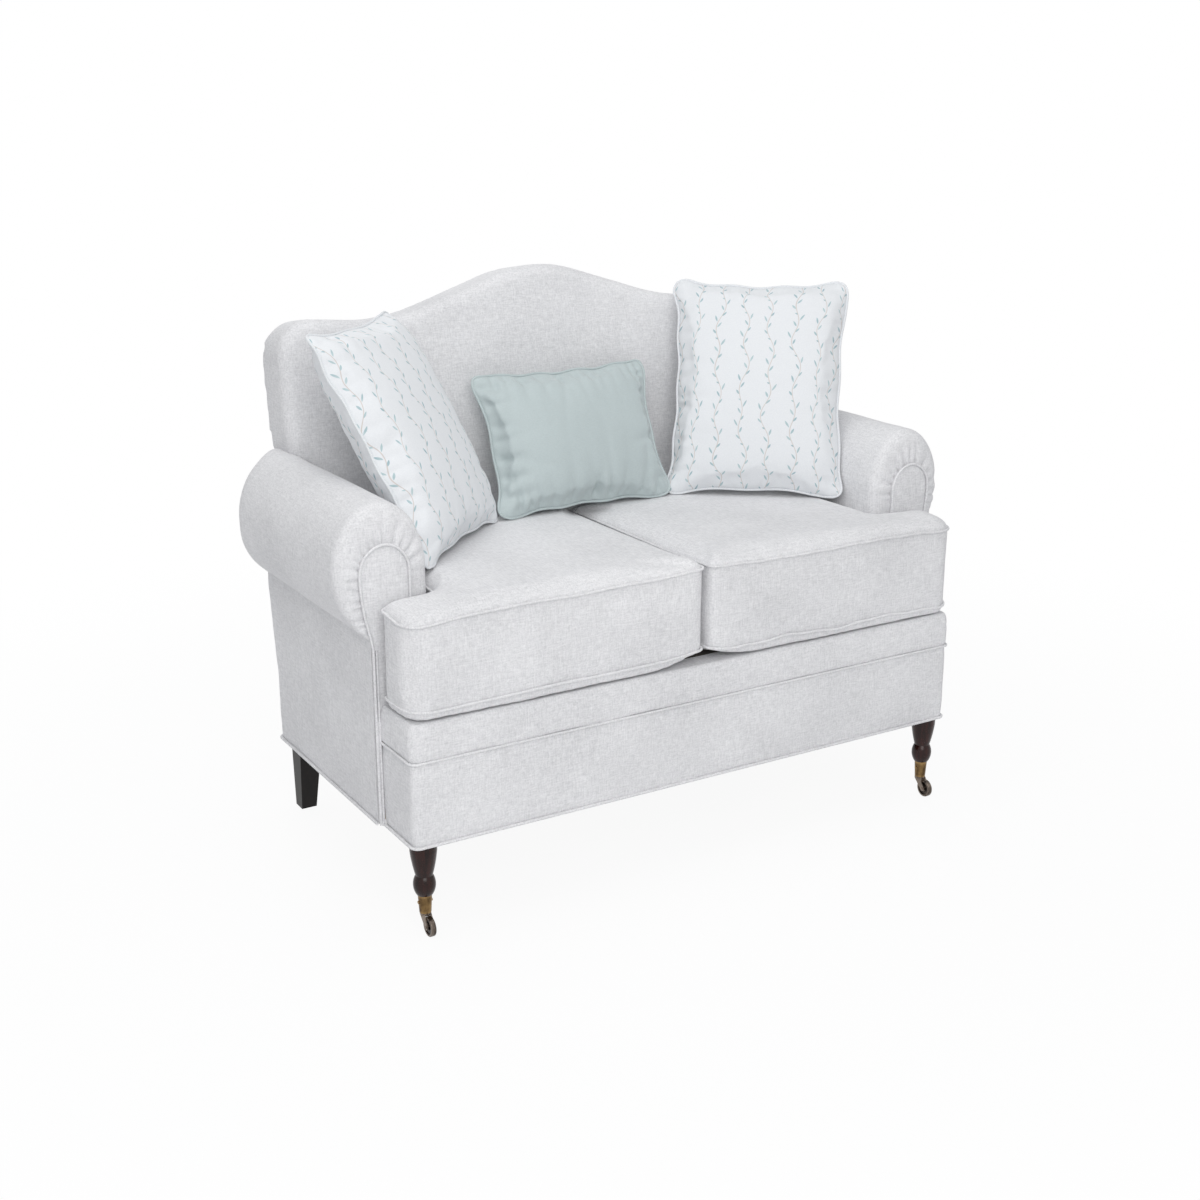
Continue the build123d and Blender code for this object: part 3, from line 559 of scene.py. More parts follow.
def plump(count, low, high, rise):
    """Outer points of a profile between two seams, drawn in at both and full between."""
    heights = np.linspace(0, 1, count)
    full = 1 - np.abs(2 * heights - 1) ** 5
    return [(seam_dip + (rise - seam_dip) * f, low + (high - low) * h) for f, h in zip(full, heights)]


def panel_profile(count, top, rise):
    return plump(count, panel_foot, top, rise) + [(cloth_inner, top), (cloth_inner, panel_foot)]


wrap_path = round_two_corners(front_half, facing_front, front_y, 9.0)
front_profile = panel_profile(20, band_seam, 0.8)
front_panel = sweep_profile("front_panel_cover", wrap_path, front_profile, relief=0.7, seed=3)
upholster(front_panel, "front_panel", fill=0.9)

band_rise, band_lip, band_full = 20.0, 8.7, 1.2
band_profile = plump(12, band_seam, deck_top - band_rise, 2.2)[:-1]
for turn in np.linspace(0, pi / 2, 9):
    lip = band_full - band_lip * (1 - cos(turn))
    band_profile.append((lip, deck_top - band_rise * (1 - sin(turn))))
band_profile.append((-7.8, band_seam))
front_band = sweep_profile("front_band_cover", wrap_path, band_profile, relief=0.9, seed=5)
upholster(front_band, "front_band", fill=0.9)


# Welts round the base


def at_level(path, level):
    return np.column_stack([path, np.full(len(path), level)])


seam_path = round_two_corners(front_half + 2.4, facing_front, front_y - 1.4, 12.0)
rear_path = round_two_corners(-arm_out - 1.8, arm_front, rear_y + 1.4, 12.0)
foot_level = base_bottom + welt / 2
base_welts = (
    ("band_welt", seam_path, band_seam, 2.3),
    ("front_foot_welt", seam_path, foot_level, 2.6),
    ("rear_foot_welt", rear_path, foot_level, 2.6),
)
for name, path, level, radius in base_welts:
    upholster(tube(name, at_level(path, level), radius), "base_welts")

# Arms: a padded roll gathered round its facing
run_front = 30.0
rear_round = 16.0


def arc_down(start_x, end_x):
    """The underside of a roll, from level with its middle down to the crease."""
    fall = roll_z - crease_z
    width = start_x - end_x
    radius = (width**2 + fall**2) / (2 * width)
    turns = np.linspace(0, asin(fall / radius), 60)
    return np.column_stack([start_x - radius + radius * np.cos(turns), roll_z - radius * np.sin(turns)])


def roll_outline(half, rise, inner_x):
    """Points of an arm section from its foot over the roll to the crease."""
    up = np.column_stack([np.full(70, inner_x), np.linspace(deck_top, roll_z, 70)])
    turns = np.linspace(pi, 0, 190)[1:]
    over = np.column_stack([roll_x + half * np.cos(turns), roll_z + rise * np.sin(turns)])
    return np.concatenate([up, over, arc_down(roll_x + half, arm_out)[1:]])


def hidden_side(inner_x, outer_x):
    """Points of an arm section along its frame, from the crease back to the foot."""
    return np.array([
        (outer_x, crease_z),
        ((inner_x + outer_x) / 2, crease_z),
        (inner_x, crease_z),
        (inner_x, (crease_z + deck_top) / 2),
        (inner_x, deck_top),
    ])


def arm_end(section):
    """How far back a roll reaches: to the leaning back inside, to an upright end outside."""
    lean = rear_at(section[:, 1]) - rear_y
    outside = smooth_step(section[:, 0], pad_inner, roll_x + 60.0)
    return rear_y + lean * (1 - outside * smooth_step(section[:, 1], crease_z, roll_z))


def build_arm(hand, side, seed):
    """One arm's roll: rows run from the rear end to the facing, with gathers at the front."""
    under_facing = 3.0
    front_fullness = 0.65
    quiet_run = 200.0
    outer = roll_outline(roll_half, roll_rise, arm_in)
    inner_x = roll_x - facing_half + under_facing
    inner = roll_outline(facing_half - under_facing, facing_rise - under_facing, inner_x)
    soft = len(outer)
    outer = np.concatenate([outer, hidden_side(pad_inner, arm_out - 25)])
    inner = np.concatenate([inner, hidden_side(roll_x - 8, arm_out - 12)])
    ahead = unit_rows(np.roll(outer, -1, 0) - np.roll(outer, 1, 0))
    inward = np.column_stack([ahead[:, 1], -ahead[:, 0]])
    inward[soft:] = 0.0
    inward[0] = inward[soft - 1] = 0.0
    rows = []
    for turn in np.linspace(0, pi / 2, 6):
        section = outer + inward * rear_round * (1 - sin(turn))
        rows.append((section, arm_end(section) - rear_round * (1 - cos(turn))))
    run_start = arm_end(outer) - rear_round
    run_end = arm_front + run_front
    for t in np.linspace(0, 1, 44)[1:]:
        rows.append((outer, run_start + (run_end - run_start) * t))
    for turn in np.linspace(0, pi / 2, 29)[1:]:
        section = outer + (inner - outer) * (1 - cos(turn) ** front_fullness)
        y = arm_front - 2.0 + run_front * (1 - sin(turn) ** front_fullness)
        rows.append((section, np.full(len(outer), y)))
    points = np.array([np.column_stack([section[:, 0], y, section[:, 1]]) for section, y in rows])
    count, columns = points.shape[:2]
    steps = np.linalg.norm(np.diff(points, axis=0), axis=2)
    to_facing = np.concatenate([np.cumsum(steps[::-1], 0)[::-1], np.zeros((1, columns))])[:, :soft]
    along_facing = np.concatenate([[0], np.cumsum(np.linalg.norm(np.diff(inner[:soft], axis=0), axis=1))])
    normal = np.cross(np.gradient(points, axis=0), np.gradient(points, axis=1))
    normal /= np.maximum(np.linalg.norm(normal, axis=2), 1e-9)[:, :, None]
    # A point on the crown tells which way is out
    crown = (count // 2, 150)
    outwards = (points[crown] - np.array([roll_x, 0, roll_z])) * np.array([1, 0, 1])
    if normal[crown] @ outwards < 0:
        normal = -normal
    random = np.random.default_rng(seed)
    lift = np.zeros((count, columns))
    where = random.uniform(3, 9)
    while where < along_facing[-1] - 4:
        low = where < quiet_run
        depth = random.uniform(0.6, 1.5) if low else random.uniform(1.8, 3.8)
        reach = random.uniform(14, 30) if low else random.uniform(34, 86)
        width = random.uniform(1.6, 2.6)
        lean = random.uniform(-0.12, 0.12)
        shifted = along_facing[None, :] + lean * to_facing - where
        spread = width * (1 + to_facing / 40)
        fade = np.clip(1 - to_facing / reach, 0, 1) ** 1.3
        puff = 0.45 * hill((np.abs(shifted) - 2.6 * spread) / (1.6 * spread))
        lift[:, :soft] += depth * (puff - hill(shifted / spread)) * fade
        where += random.uniform(11, 19)
    flat = points.reshape(-1, 3)
    gentle = 0.8 * ripple(flat, 170.0, seed + 1) + 0.35 * ripple(flat, 60.0, seed + 2) - 1.0
    lift[:, :soft] += gentle.reshape(count, columns)[:, :soft]
    flat = flat + normal.reshape(-1, 3) * lift.reshape(-1, 1)
    flat[:, 0] *= side
    roll = add_object(f"{hand}_arm_roll", flat, capped(count, columns), sharp=75)
    upholster(roll, f"{hand}_arm_pad", fill=0.85)


def upright(line, y):
    """Points of (x, z) set in an upright plane across the seat."""
    return np.column_stack([line[:, 0], np.full(len(line), y), line[:, 1]])


def build_facing(hand, side, seed):
    """The keyhole panel on an arm's front, with its welts."""
    top = roll_z + facing_rise
    facing_foot = deck_top - 24.0
    dome_depth, edge_reach, crown_reach = 3.2, 9.0, 14.0
    straight = np.linspace(facing_foot, crease_z, 17)
    heights = np.concatenate([straight[:-1], np.linspace(crease_z, top, 60)[:-1], [top - 0.4]])
    under = arc_down(roll_x + facing_half, arm_out)[::-1]
    columns = 25
    share = 0.5 - 0.5 * np.cos(pi * np.linspace(0, 1, columns))
    points = []
    for z in heights:
        near, far = roll_x - facing_half, arm_out
        if z > roll_z:
            half = facing_half * sqrt(max(0.0, 1 - ((z - roll_z) / facing_rise) ** 2))
            near, far = roll_x - half, roll_x + half
        elif z > crease_z:
            far = float(np.interp(z, under[:, 1], under[:, 0]))
        xs = near + (far - near) * share
        edge = np.minimum(xs - near, far - xs)
        dome = np.minimum(1 - np.exp(-edge / edge_reach), np.clip((top - z) / crown_reach, 0, 1))
        ys = facing_front + 3.0 - dome_depth * dome
        points.append(np.column_stack([xs, ys, np.full(columns, z)]))
    faces = quads(len(heights), columns)
    # The narrow tail runs down beside the front panel
    tail_columns = 7
    tail_heights = np.linspace(panel_foot, facing_foot, 22)
    tail_xs = np.linspace(front_half, arm_out, tail_columns)
    tail_ys = facing_front + 1.0 - 1.2 * np.sin(np.linspace(0, pi, tail_columns))
    faces += quads(len(tail_heights), tail_columns, start=len(heights) * columns)
    points.append([(x, y, z) for z in tail_heights for x, y in zip(tail_xs, tail_ys)])
    flat = np.concatenate(points)
    flat[:, 1] -= 0.5 * ripple(flat, 70.0, seed)
    flat[:, 0] *= side
    panel = add_object(f"{hand}_arm_front", flat, faces)
    give_skin(panel, panel_skin, axis=1, front=-1, sharp=60)
    upholster(panel, f"{hand}_arm_facing", fill=0.9)

    rim = roll_outline(facing_half, facing_rise, roll_x - facing_half)
    down = np.linspace(crease_z, base_bottom + welt + 5, 34)[1:]
    drop = np.column_stack([np.full(len(down), arm_out), down])
    path = upright(np.concatenate([rim[rim[:, 1] > deck_top + 120], drop]), facing_front - 0.6)
    path[:, 0] = (path[:, 0] - 0.8 * np.sign(path[:, 0] - roll_x)) * side
    upholster(tube(f"{hand}_arm_front_welt", path, 2.4), "facing_welts")
    second = upright(drop - np.array([6.4, 4.0]), facing_front - 0.2)
    second[:, 0] *= side
    upholster(tube(f"{hand}_arm_side_welt", second, 2.1), "facing_welts")


def build_outside_arm(hand, side, seed):
    """The panel below a roll, turned round the rear corner and tucked under the back."""
    tuck, flap_width, under_roll = 4.5, 14.0, 5.0
    corners = [(arm_out, arm_front + 0.5), (arm_out, rear_y), (pad_inner - flap_width, rear_y)]
    path = rounded_path(corners, front_corner, 10.0)
    profile = panel_profile(30, crease_z + under_roll, 0.6)
    panel = sweep_profile(f"{hand}_arm_outside", path, profile, relief=0.9, seed=seed)
    points = get_points(panel)
    share = np.clip((points[:, 1] - arm_front) / (rear_y - arm_front), 0, 1)
    points[:, 1] += (rear_at(points[:, 2]) - rear_y) * share
    points[:, 1] -= tuck * (1 - smooth_step(points[:, 0], pad_inner - 4.0, pad_inner + 18.0))
    points[:, 0] *= side
    set_points(panel, points)
    if side < 0:
        panel.data.flip_normals()
    upholster(panel, f"{hand}_outside_arm", fill=0.9)


for hand, side, seed in (("left", -1, 11), ("right", 1, 41)):
    build_arm(hand, side, seed)
    build_facing(hand, side, seed + 5)
    build_outside_arm(hand, side, seed + 9)

# Deck cloth under the cushions and a black cloth below the frame


def flat_cloth(name, xs, ys, inside, level, thick, sag, seed):
    """A thin cloth over the cells of a grid that lie inside."""
    points = np.array([(x, y, level) for y in ys for x in xs], float)
    faces = [face for face in quads(len(ys), len(xs)) if inside(*points[list(face), :2].mean(0))]
    points[:, 2] -= sag * (0.5 + 0.5 * ripple(points, 160.0, seed))
    used = sorted({i for f in faces for i in f})
    place = {old: new for new, old in enumerate(used)}
    faces = [tuple(place[i] for i in f) for f in faces]
    cloth = add_object(name, points[used], faces)
    give_skin(cloth, thick, axis=2, front=1, sharp=50)
    return cloth


side_flap = 42.0
flap_front = front_y + 6.5
flap_rear = front_y + 46.0
deck_side = rail_out - side_flap


def graded(stops, steps):
    """Values in even steps from each stop to the next."""
    runs = [np.linspace(a, b, n + 1)[1:] for a, b, n in zip(stops, stops[1:], steps)]
    return np.concatenate([stops[:1], *runs])


deck_xs = graded((-rail_out, -deck_side, -pad_inner, pad_inner, deck_side, rail_out), (4, 3, 59, 3, 4))
deck_ys = graded((flap_front, flap_rear, facing_front, deck_rear), (5, 7, 29))


def on_flap(x, y):
    return y < facing_front and (y < flap_rear or abs(x) > deck_side)


def on_deck(x, y):
    return not on_flap(x, y) and (y < facing_front or abs(x) < pad_inner)


deck_grid = (deck_xs, deck_ys)
deck = flat_cloth("deck_cloth", *deck_grid, on_deck, level=deck_top - 0.2, thick=1.5, sag=0.8, seed=71)
dress(deck, "deck_cloth", "settee_frame", "deck_lining")
flap = flat_cloth("deck_flap", *deck_grid, on_flap, level=deck_top - 0.1, thick=1.5, sag=0.3, seed=72)
upholster(flap, "front_band")
dust_inset = 10.0
dust_half = rail_out - dust_inset
dust_front, dust_rear = front_y + cover + dust_inset, rear_y - cover - dust_inset
dust_xs = np.linspace(-dust_half, dust_half, 60)
dust_ys = np.linspace(dust_front, dust_rear, 32)
dust = flat_cloth(
    "dust_cloth", dust_xs, dust_ys, lambda x, y: True, level=base_bottom + 2.0, thick=1.2, sag=2.5, seed=73
)
dress(dust, "dust_cloth", "settee_frame", "dust_cover")


# Back: a remeshed soft front and a sewn outside panel


def soft_copy(name, node_name, voxel, rounds):
    """An even-meshed, softened copy of a solid's outer shell."""
    form = bmesh.new()
    form.from_mesh(nodes[node_name].data)
    bmesh.ops.remove_doubles(form, verts=form.verts, dist=0.000001)
    # The outer shell is the one that holds the outermost point
    first = max(form.verts, key=lambda vert: vert.co.x)
    shell, stack = {first}, [first]
    while stack:
        vert = stack.pop()
        for edge in vert.link_edges:
            other = edge.other_vert(vert)
            if other not in shell:
                shell.add(other)
                stack.append(other)
    inner = [vert for vert in form.verts if vert not in shell]
    bmesh.ops.delete(form, geom=inner, context="VERTS")
    mesh = bpy.data.meshes.new(name)
    form.to_mesh(mesh)
    form.free()
    obj = place_object(name, mesh)
    even = obj.modifiers.new("even", "REMESH")
    even.mode = "VOXEL"
    even.voxel_size = voxel * MM
    soft = obj.modifiers.new("soft", "SMOOTH")
    soft.factor = 0.5
    soft.iterations = rounds
    apply_modifiers(obj)
    smooth_shade(obj)
    return obj


def narrow_ears(points):
    """Draw the ears in towards their tops."""
    draw = 13.0
    share = smooth_step(points[:, 2], 640.0, 930.0) * smooth_step(np.abs(points[:, 0]), 330.0, 520.0)
    return np.column_stack([points[:, 0] - np.sign(points[:, 0]) * draw * share, points[:, 1:]])


back_normal = np.array([0.0, -cos(back_lean), sin(back_lean)])
back_up = np.array([0.0, sin(back_lean), cos(back_lean)])
back_origin = np.array([0.0, back_foot_y, rail_top])
inside_back = soft_copy("inside_back_cover", "inside_back", voxel=6.0, rounds=4)
back_points = narrow_ears(get_points(inside_back))
# The ears are bedded on the rolls
bed_depth = 9.0
half_across = np.abs(back_points[:, 0])
above_roll = back_points[:, 2] - roll_z
over_roll = np.hypot((half_across - roll_x) / roll_half, above_roll / roll_rise)
bedded = (above_roll > 0) & (half_across > arm_in)
back_points[:, 2] -= bed_depth * bedded * (1 - smooth_step(over_roll, 1.03, 1.13))
relief = 0.7 * ripple(back_points, 200.0, 91) + 0.3 * ripple(back_points, 70.0, 92) - 0.6
set_points(inside_back, back_points + get_normals(inside_back) * relief[:, None])
upholster(inside_back, "inside_back", fill=0.85)

# Outline of the back, in its own leaning plane
back_depth = 105.0
back_top = 1006.0
neck_half = 462.0
dip_drop = 79.0
crest_v = (back_top - rail_top - back_depth / 2 * sin(back_lean)) / cos(back_lean)
dip_v = crest_v - dip_drop
hump_run, crest_radius, dip_radius = 361.0, 280.0, 461.0
both_radii = crest_radius + dip_radius
hump_fall = both_radii - dip_drop
hump_angle = atan2(hump_run, hump_fall) - acos(both_radii / hypot(hump_fall, hump_run))
shoulder_angle = radians(4.2)
back_side = 545.0
shoulder_radius = 62.0
roll_v = (roll_z - rail_top) / cos(back_lean)


def top_of_back(u):
    """How high up the back its top edge lies, across its width."""
    u = abs(u)
    crest_end = crest_radius * sin(hump_angle)
    dip_start = hump_run - dip_radius * sin(hump_angle)
    if u < crest_end:
        return crest_v - crest_radius + sqrt(crest_radius**2 - u**2)
    if u < dip_start:
        start = crest_v - crest_radius * (1 - cos(hump_angle))
        return start - (u - crest_end) * tan(hump_angle)
    dip_end = hump_run + dip_radius * sin(shoulder_angle)
    if u < dip_end:
        return dip_v + dip_radius - sqrt(dip_radius**2 - (u - hump_run) ** 2)
    rise = dip_radius * (1 - cos(shoulder_angle))
    level = dip_v + rise + (u - dip_end) * tan(shoulder_angle)
    bend = u - (back_side - shoulder_radius)
    if bend > 0:
        level -= shoulder_radius - sqrt(max(0.0, shoulder_radius**2 - bend**2))
    return level


def build_outside_back():
    """The rear panel, one cloth from the base over the leaning back to the top edge."""
    inset, back_proud = 8.0, 2.2
    arm_gap, least_rise = 2.0, 4.0
    half = neck_half - inset
    ear_end = back_side - inset
    ear_corner = 34.0
    foot_half = pad_inner - 1.0
    low_zs = np.linspace(panel_foot, rail_top - 7, 10)
    mid_rows = np.linspace(0, 1, 24)
    high_rows = np.linspace(0, 1, 30)[1:]
    middle_us = np.linspace(-half, half, 91)
    strip_us = np.linspace(half, foot_half, 6)
    ear_us = half + (ear_end - half) * np.sin(np.linspace(0, pi / 2, 16))

    def leaning(u, v):
        return back_origin + np.array([u, 0, 0]) + back_up * v

    def over_arm(u):
        """How high up the back the arm's roll reaches, with the ear's own rounded corner."""
        x = (u - roll_x) / (roll_half + arm_gap)
        bend = max(0.0, u - (ear_end - ear_corner)) / ear_corner
        corner = ear_corner * (1 - sqrt(max(0.0, 1 - bend**2)))
        return roll_v + (roll_rise + arm_gap) / cos(back_lean) * sqrt(max(0.0, 1 - x**2)) + corner

    def low_part(u, top):
        upright = [np.array([u, rear_y + back_proud, z]) for z in low_zs]
        return upright + [leaning(u, top * t) for t in mid_rows]

    points = []
    for u in middle_us:
        top = top_of_back(u) - inset
        points += low_part(u, roll_v) + [leaning(u, roll_v + (top - roll_v) * t) for t in high_rows]
    faces = quads(len(middle_us), len(points) // len(middle_us))
    for way in (-1, 1):
        start = len(points)
        for u in strip_us:
            points += low_part(way * u, over_arm(u))
        faces += quads(len(strip_us), len(low_zs) + len(mid_rows), start=start)
        start = len(points)
        for u in ear_us:
            low = over_arm(u)
            top = max(low + least_rise, top_of_back(u) - inset)
            points += [leaning(way * u, low + (top - low) * t) for t in np.concatenate([[0], high_rows])]
        faces += quads(len(ear_us), len(high_rows) + 1, start=start)
    flat = narrow_ears(np.array(points))
    flat[:, 1] += 0.4 * ripple(flat, 180.0, 95) - 0.5
    panel = add_object("outside_back_cover", flat, faces)
    give_skin(panel, panel_skin, axis=1, front=1, sharp=40)
    upholster(panel, "outside_back", fill=0.95)


build_outside_back()

# Seat cushions
cushion_inner = 5.6
cushion_front = front_y - 4.0
ear_side = front_half + 2.0
ear_rear = -235.8
cushion_side = 455.6
cushion_rear = 138.5
belly_run = 24.0
soft_corner, sewn_corner = 42.0, 16.0


def t_outline(grow):
    return [
        (cushion_inner - grow, cushion_front - grow),
        (ear_side + grow, cushion_front - grow),
        (ear_side + grow, ear_rear + grow),
        (cushion_side + grow, ear_rear + grow),
        (cushion_side + grow, cushion_rear + grow),
        (cushion_inner - grow, cushion_rear + grow),
    ]


def soften_corner(points, side):
    """Round the front outer corner more than it was sewn, and fill the notch at the arm."""
    notch_fill, notch_reach = 9.0, 24.0
    moved = points.copy()
    out, behind = points[:, 0] * side - cushion_side, points[:, 1] - ear_rear
    notch = hill(out / notch_reach, behind / notch_reach)
    moved[:, 0] += notch_fill * notch * side
    moved[:, 1] += notch_fill * notch
    across = points[:, 0] * side - (ear_side - soft_corner)
    ahead = (cushion_front + soft_corner) - points[:, 1]
    near = (across > 0) & (ahead > 0)
    away = np.maximum(np.hypot(across, ahead), 1e-6)
    c, s = across / away, ahead / away
    core = soft_corner - sewn_corner
    inside_root = np.maximum(0.0, (core * (c + s)) ** 2 - 2 * core**2 + sewn_corner**2)
    reach = core * (c + s) + np.sqrt(inside_root)
    on_arc = (reach * c > core) & (reach * s > core)
    reach = np.where(on_arc, reach, soft_corner / np.maximum(np.maximum(c, s), 1e-6))
    share = np.where(near, soft_corner / np.maximum(reach, 1e-6), 1.0)
    moved[near, 0] = (ear_side - soft_corner + across[near] * share[near]) * side
    moved[near, 1] = cushion_front + soft_corner - ahead[near] * share[near]
    return moved


def settle(points, side, seed):
    """The slack of a used cushion: corners that droop or lift and seams that wander."""
    corner_reach, front_reach = 90.0, 75.0
    moved = points.copy()
    x = np.abs(points[:, 0])
    y = points[:, 1]
    height = np.clip((points[:, 2] - low_seam) / (high_seam - low_seam), 0, 1)
    behind = (y - cushion_front) / corner_reach
    corner = hill((x - ear_side) / corner_reach, behind)
    inner = hill(x / corner_reach, behind)
    droop = 11.0 if side < 0 else 6.0
    wander = ripple(np.column_stack([points[:, 0], y * 0.3, height * 60]), 95.0, seed)
    shift = -droop * corner * (0.4 + 0.6 * height) + (9.0 - 5.0 * height) * inner
    shift += hill((y - cushion_front) / front_reach) * wander * (4.6 - 2.4 * height)
    moved[:, 2] += shift * smooth_step(points[:, 2], cushion_bottom + 2, low_seam)
    moved[:, 2] = np.clip(moved[:, 2], cushion_bottom, seat_top)
    return moved


def distance_to(points, outline):
    return np.min(np.linalg.norm(points[:, None, :2] - outline[None, ::2, :], axis=2), axis=1)


def build_cushion(hand, side, seed):
    """A boxed T cushion, swollen between its welted seams."""
    body = f"{hand}_cushion"
    seam_band, seam_reach, foot_band = 5.0, 9.0, 3.0
    middle_gap, arm_gap, back_gap, facing_gap = 2.5, 1.5, 1.0, 4.0
    lift_share, lift_across, lift_along = 0.8, 66.0, 70.0
    cushion = soft_copy(f"{hand}_seat_cushion", f"{hand}_cushion_cover", voxel=8.0, rounds=4)
    points = get_points(cushion)
    held = points[:, 2] < cushion_bottom + foot_band
    outline = rounded_path(t_outline(0.0), sewn_corner, 6.0, closed=True)
    outline[:, 0] *= side
    gap = distance_to(points, outline)
    for seam in (low_seam, high_seam):
        held |= (np.abs(points[:, 2] - seam) < seam_band) & (gap < seam_reach)
    inflate(cushion, pressure=3.0, frames=18, cap=9.0, bending=1.5, held=np.nonzero(held)[0])
    points = get_points(cushion)
    x = np.maximum(points[:, 0] * side, middle_gap)
    between_arms = points[:, 1] > ear_rear + 20
    points[:, 0] = np.where(between_arms, np.minimum(x, arm_in - arm_gap), x) * side
    # The underside curves up to its seam, and the inner front corner is lifted
    fall = np.sqrt(1 - (1 - np.clip(distance_to(points, outline) / belly_run, 0, 1)) ** 2)
    belly = low_seam - (low_seam - cushion_bottom) * fall
    lifted = lift_share * hill(points[:, 0] / lift_across, (points[:, 1] - cushion_front) / lift_along)
    under = points[:, 2] < low_seam - 1.0
    points[under, 2] = np.minimum(points[under, 2], belly[under])
    points[under, 2] += lifted[under] * (low_seam - points[under, 2])
    lean_limit = back_front_y - back_gap + (points[:, 2] - low_seam) * tan(back_lean)
    points[:, 1] = np.minimum(points[:, 1], lean_limit)
    shoulder = (points[:, 0] * side > cushion_side + 12) & (points[:, 1] > ear_rear - 30)
    points[shoulder, 1] = np.minimum(points[shoulder, 1], facing_front - facing_gap)
    relief = 0.6 * ripple(points, 120.0, seed) + 0.35 * ripple(points, 38.0, seed + 1) - 0.5
    points = points + get_normals(cushion) * relief[:, None]
    set_points(cushion, settle(soften_corner(points, side), side, seed + 2))
    refine(cushion)
    smooth_shade(cushion)
    dress(cushion, "upholstery", body, f"{hand}_cushion_cover", f"{hand}_cushion_core", fill=0.8)
    for seam, label in ((low_seam, "lower"), (high_seam, "upper")):
        path = at_level(rounded_path(t_outline(-0.2), sewn_corner, 7.0, closed=True), seam)
        path[:, 0] *= side
        path = settle(soften_corner(path, side), side, seed + 2)
        cord = tube(f"{hand}_cushion_{label}_welt", path, 2.4, closed=True)
        dress(cord, "upholstery", body, f"{hand}_cushion_welts")


build_cushion("left", -1, 131)
build_cushion("right", 1, 151)


# Pillows


def pillow_frame(x, before_back, above_seat, turn, lean):
    """A pillow's middle, and its directions across, up and forwards."""
    yaw, tip = radians(turn), radians(lean)
    facing = np.array([sin(yaw) * cos(tip), -cos(yaw) * cos(tip), sin(tip)])
    across = np.array([cos(yaw), sin(yaw), 0.0])
    middle = np.array([x, back_front_y - before_back, seat_top + above_seat])
    return middle, across, np.cross(facing, across), facing


def clear_neighbours(points, reach):
    """Keep a pillow's points off the seat, the back and the arms."""
    points = points.copy()
    for side in (-1, 1):
        x = points[:, 0] * side - roll_x
        z = points[:, 2] - roll_z
        ratio = np.sqrt((x / (roll_half + reach)) ** 2 + (np.maximum(z, 0) / (roll_rise + reach)) ** 2)
        beside = (ratio < 1) & (x < 0)
        x, z, ratio = x[beside], z[beside], np.maximum(ratio[beside], 1e-6)
        points[beside, 0] = (roll_x + x / ratio) * side
        points[beside, 2] = roll_z + np.where(z > 0, z / ratio, z)
    depth = (points - back_origin) @ back_normal
    points += np.maximum(0, back_depth + reach - depth)[:, None] * back_normal
    points[:, 2] = np.maximum(points[:, 2], seat_top + reach)
    return points


def random_wave(random, along, shortest, longest):
    pitch = random.uniform(shortest, longest)
    return np.sin(along * 2 * pi / pitch + random.uniform(0, 6.28))


def pucker(points, normals, width, height, gather, seed):
    """Gathers that run in from a pillow's seam, and a seam that waves a little."""
    wave_height, wave_reach = 3.0, 28.0
    pull_depth, pull_reach = 4.6, 24.0
    random = np.random.default_rng(seed + 70)
    moved = points.copy()
    x, y = points[:, 0], points[:, 1]
    off_seam = smooth_step(np.abs(points[:, 2]), 1.0, 15.0)
    sides = (
        (x, height / 2 - y, (0, -1)),
        (x, height / 2 + y, (0, 1)),
        (y, width / 2 - x, (-1, 0)),
        (y, width / 2 + x, (1, 0)),
    )
    for along, inward, way in sides:
        edge = np.clip(inward, 0, None)
        run = np.abs(along).max()
        wave = sum(random_wave(random, along, 70, 190) for _ in range(3))
        moved[:, 2] += wave_height * wave * np.exp(-edge / wave_reach)
        pull = pull_depth * (1 + random_wave(random, along, 60, 130))
        moved[:, :2] += (pull * np.exp(-edge / pull_reach))[:, None] * np.array(way)
        where = -run + random.uniform(10, 30)
        while where < run - 10:
            depth = gather * random.uniform(0.4, 1.0)
            reach = random.uniform(20, 52)
            breadth = random.uniform(3.6, 5.6) * (1 + edge / 70.0)
            lean = random.uniform(-0.3, 0.3)
            fold = hill((along - where - lean * edge) / breadth) * np.exp(-edge / reach)
            moved -= normals * (depth * fold * off_seam)[:, None]
            where += random.uniform(13, 25)
    return moved


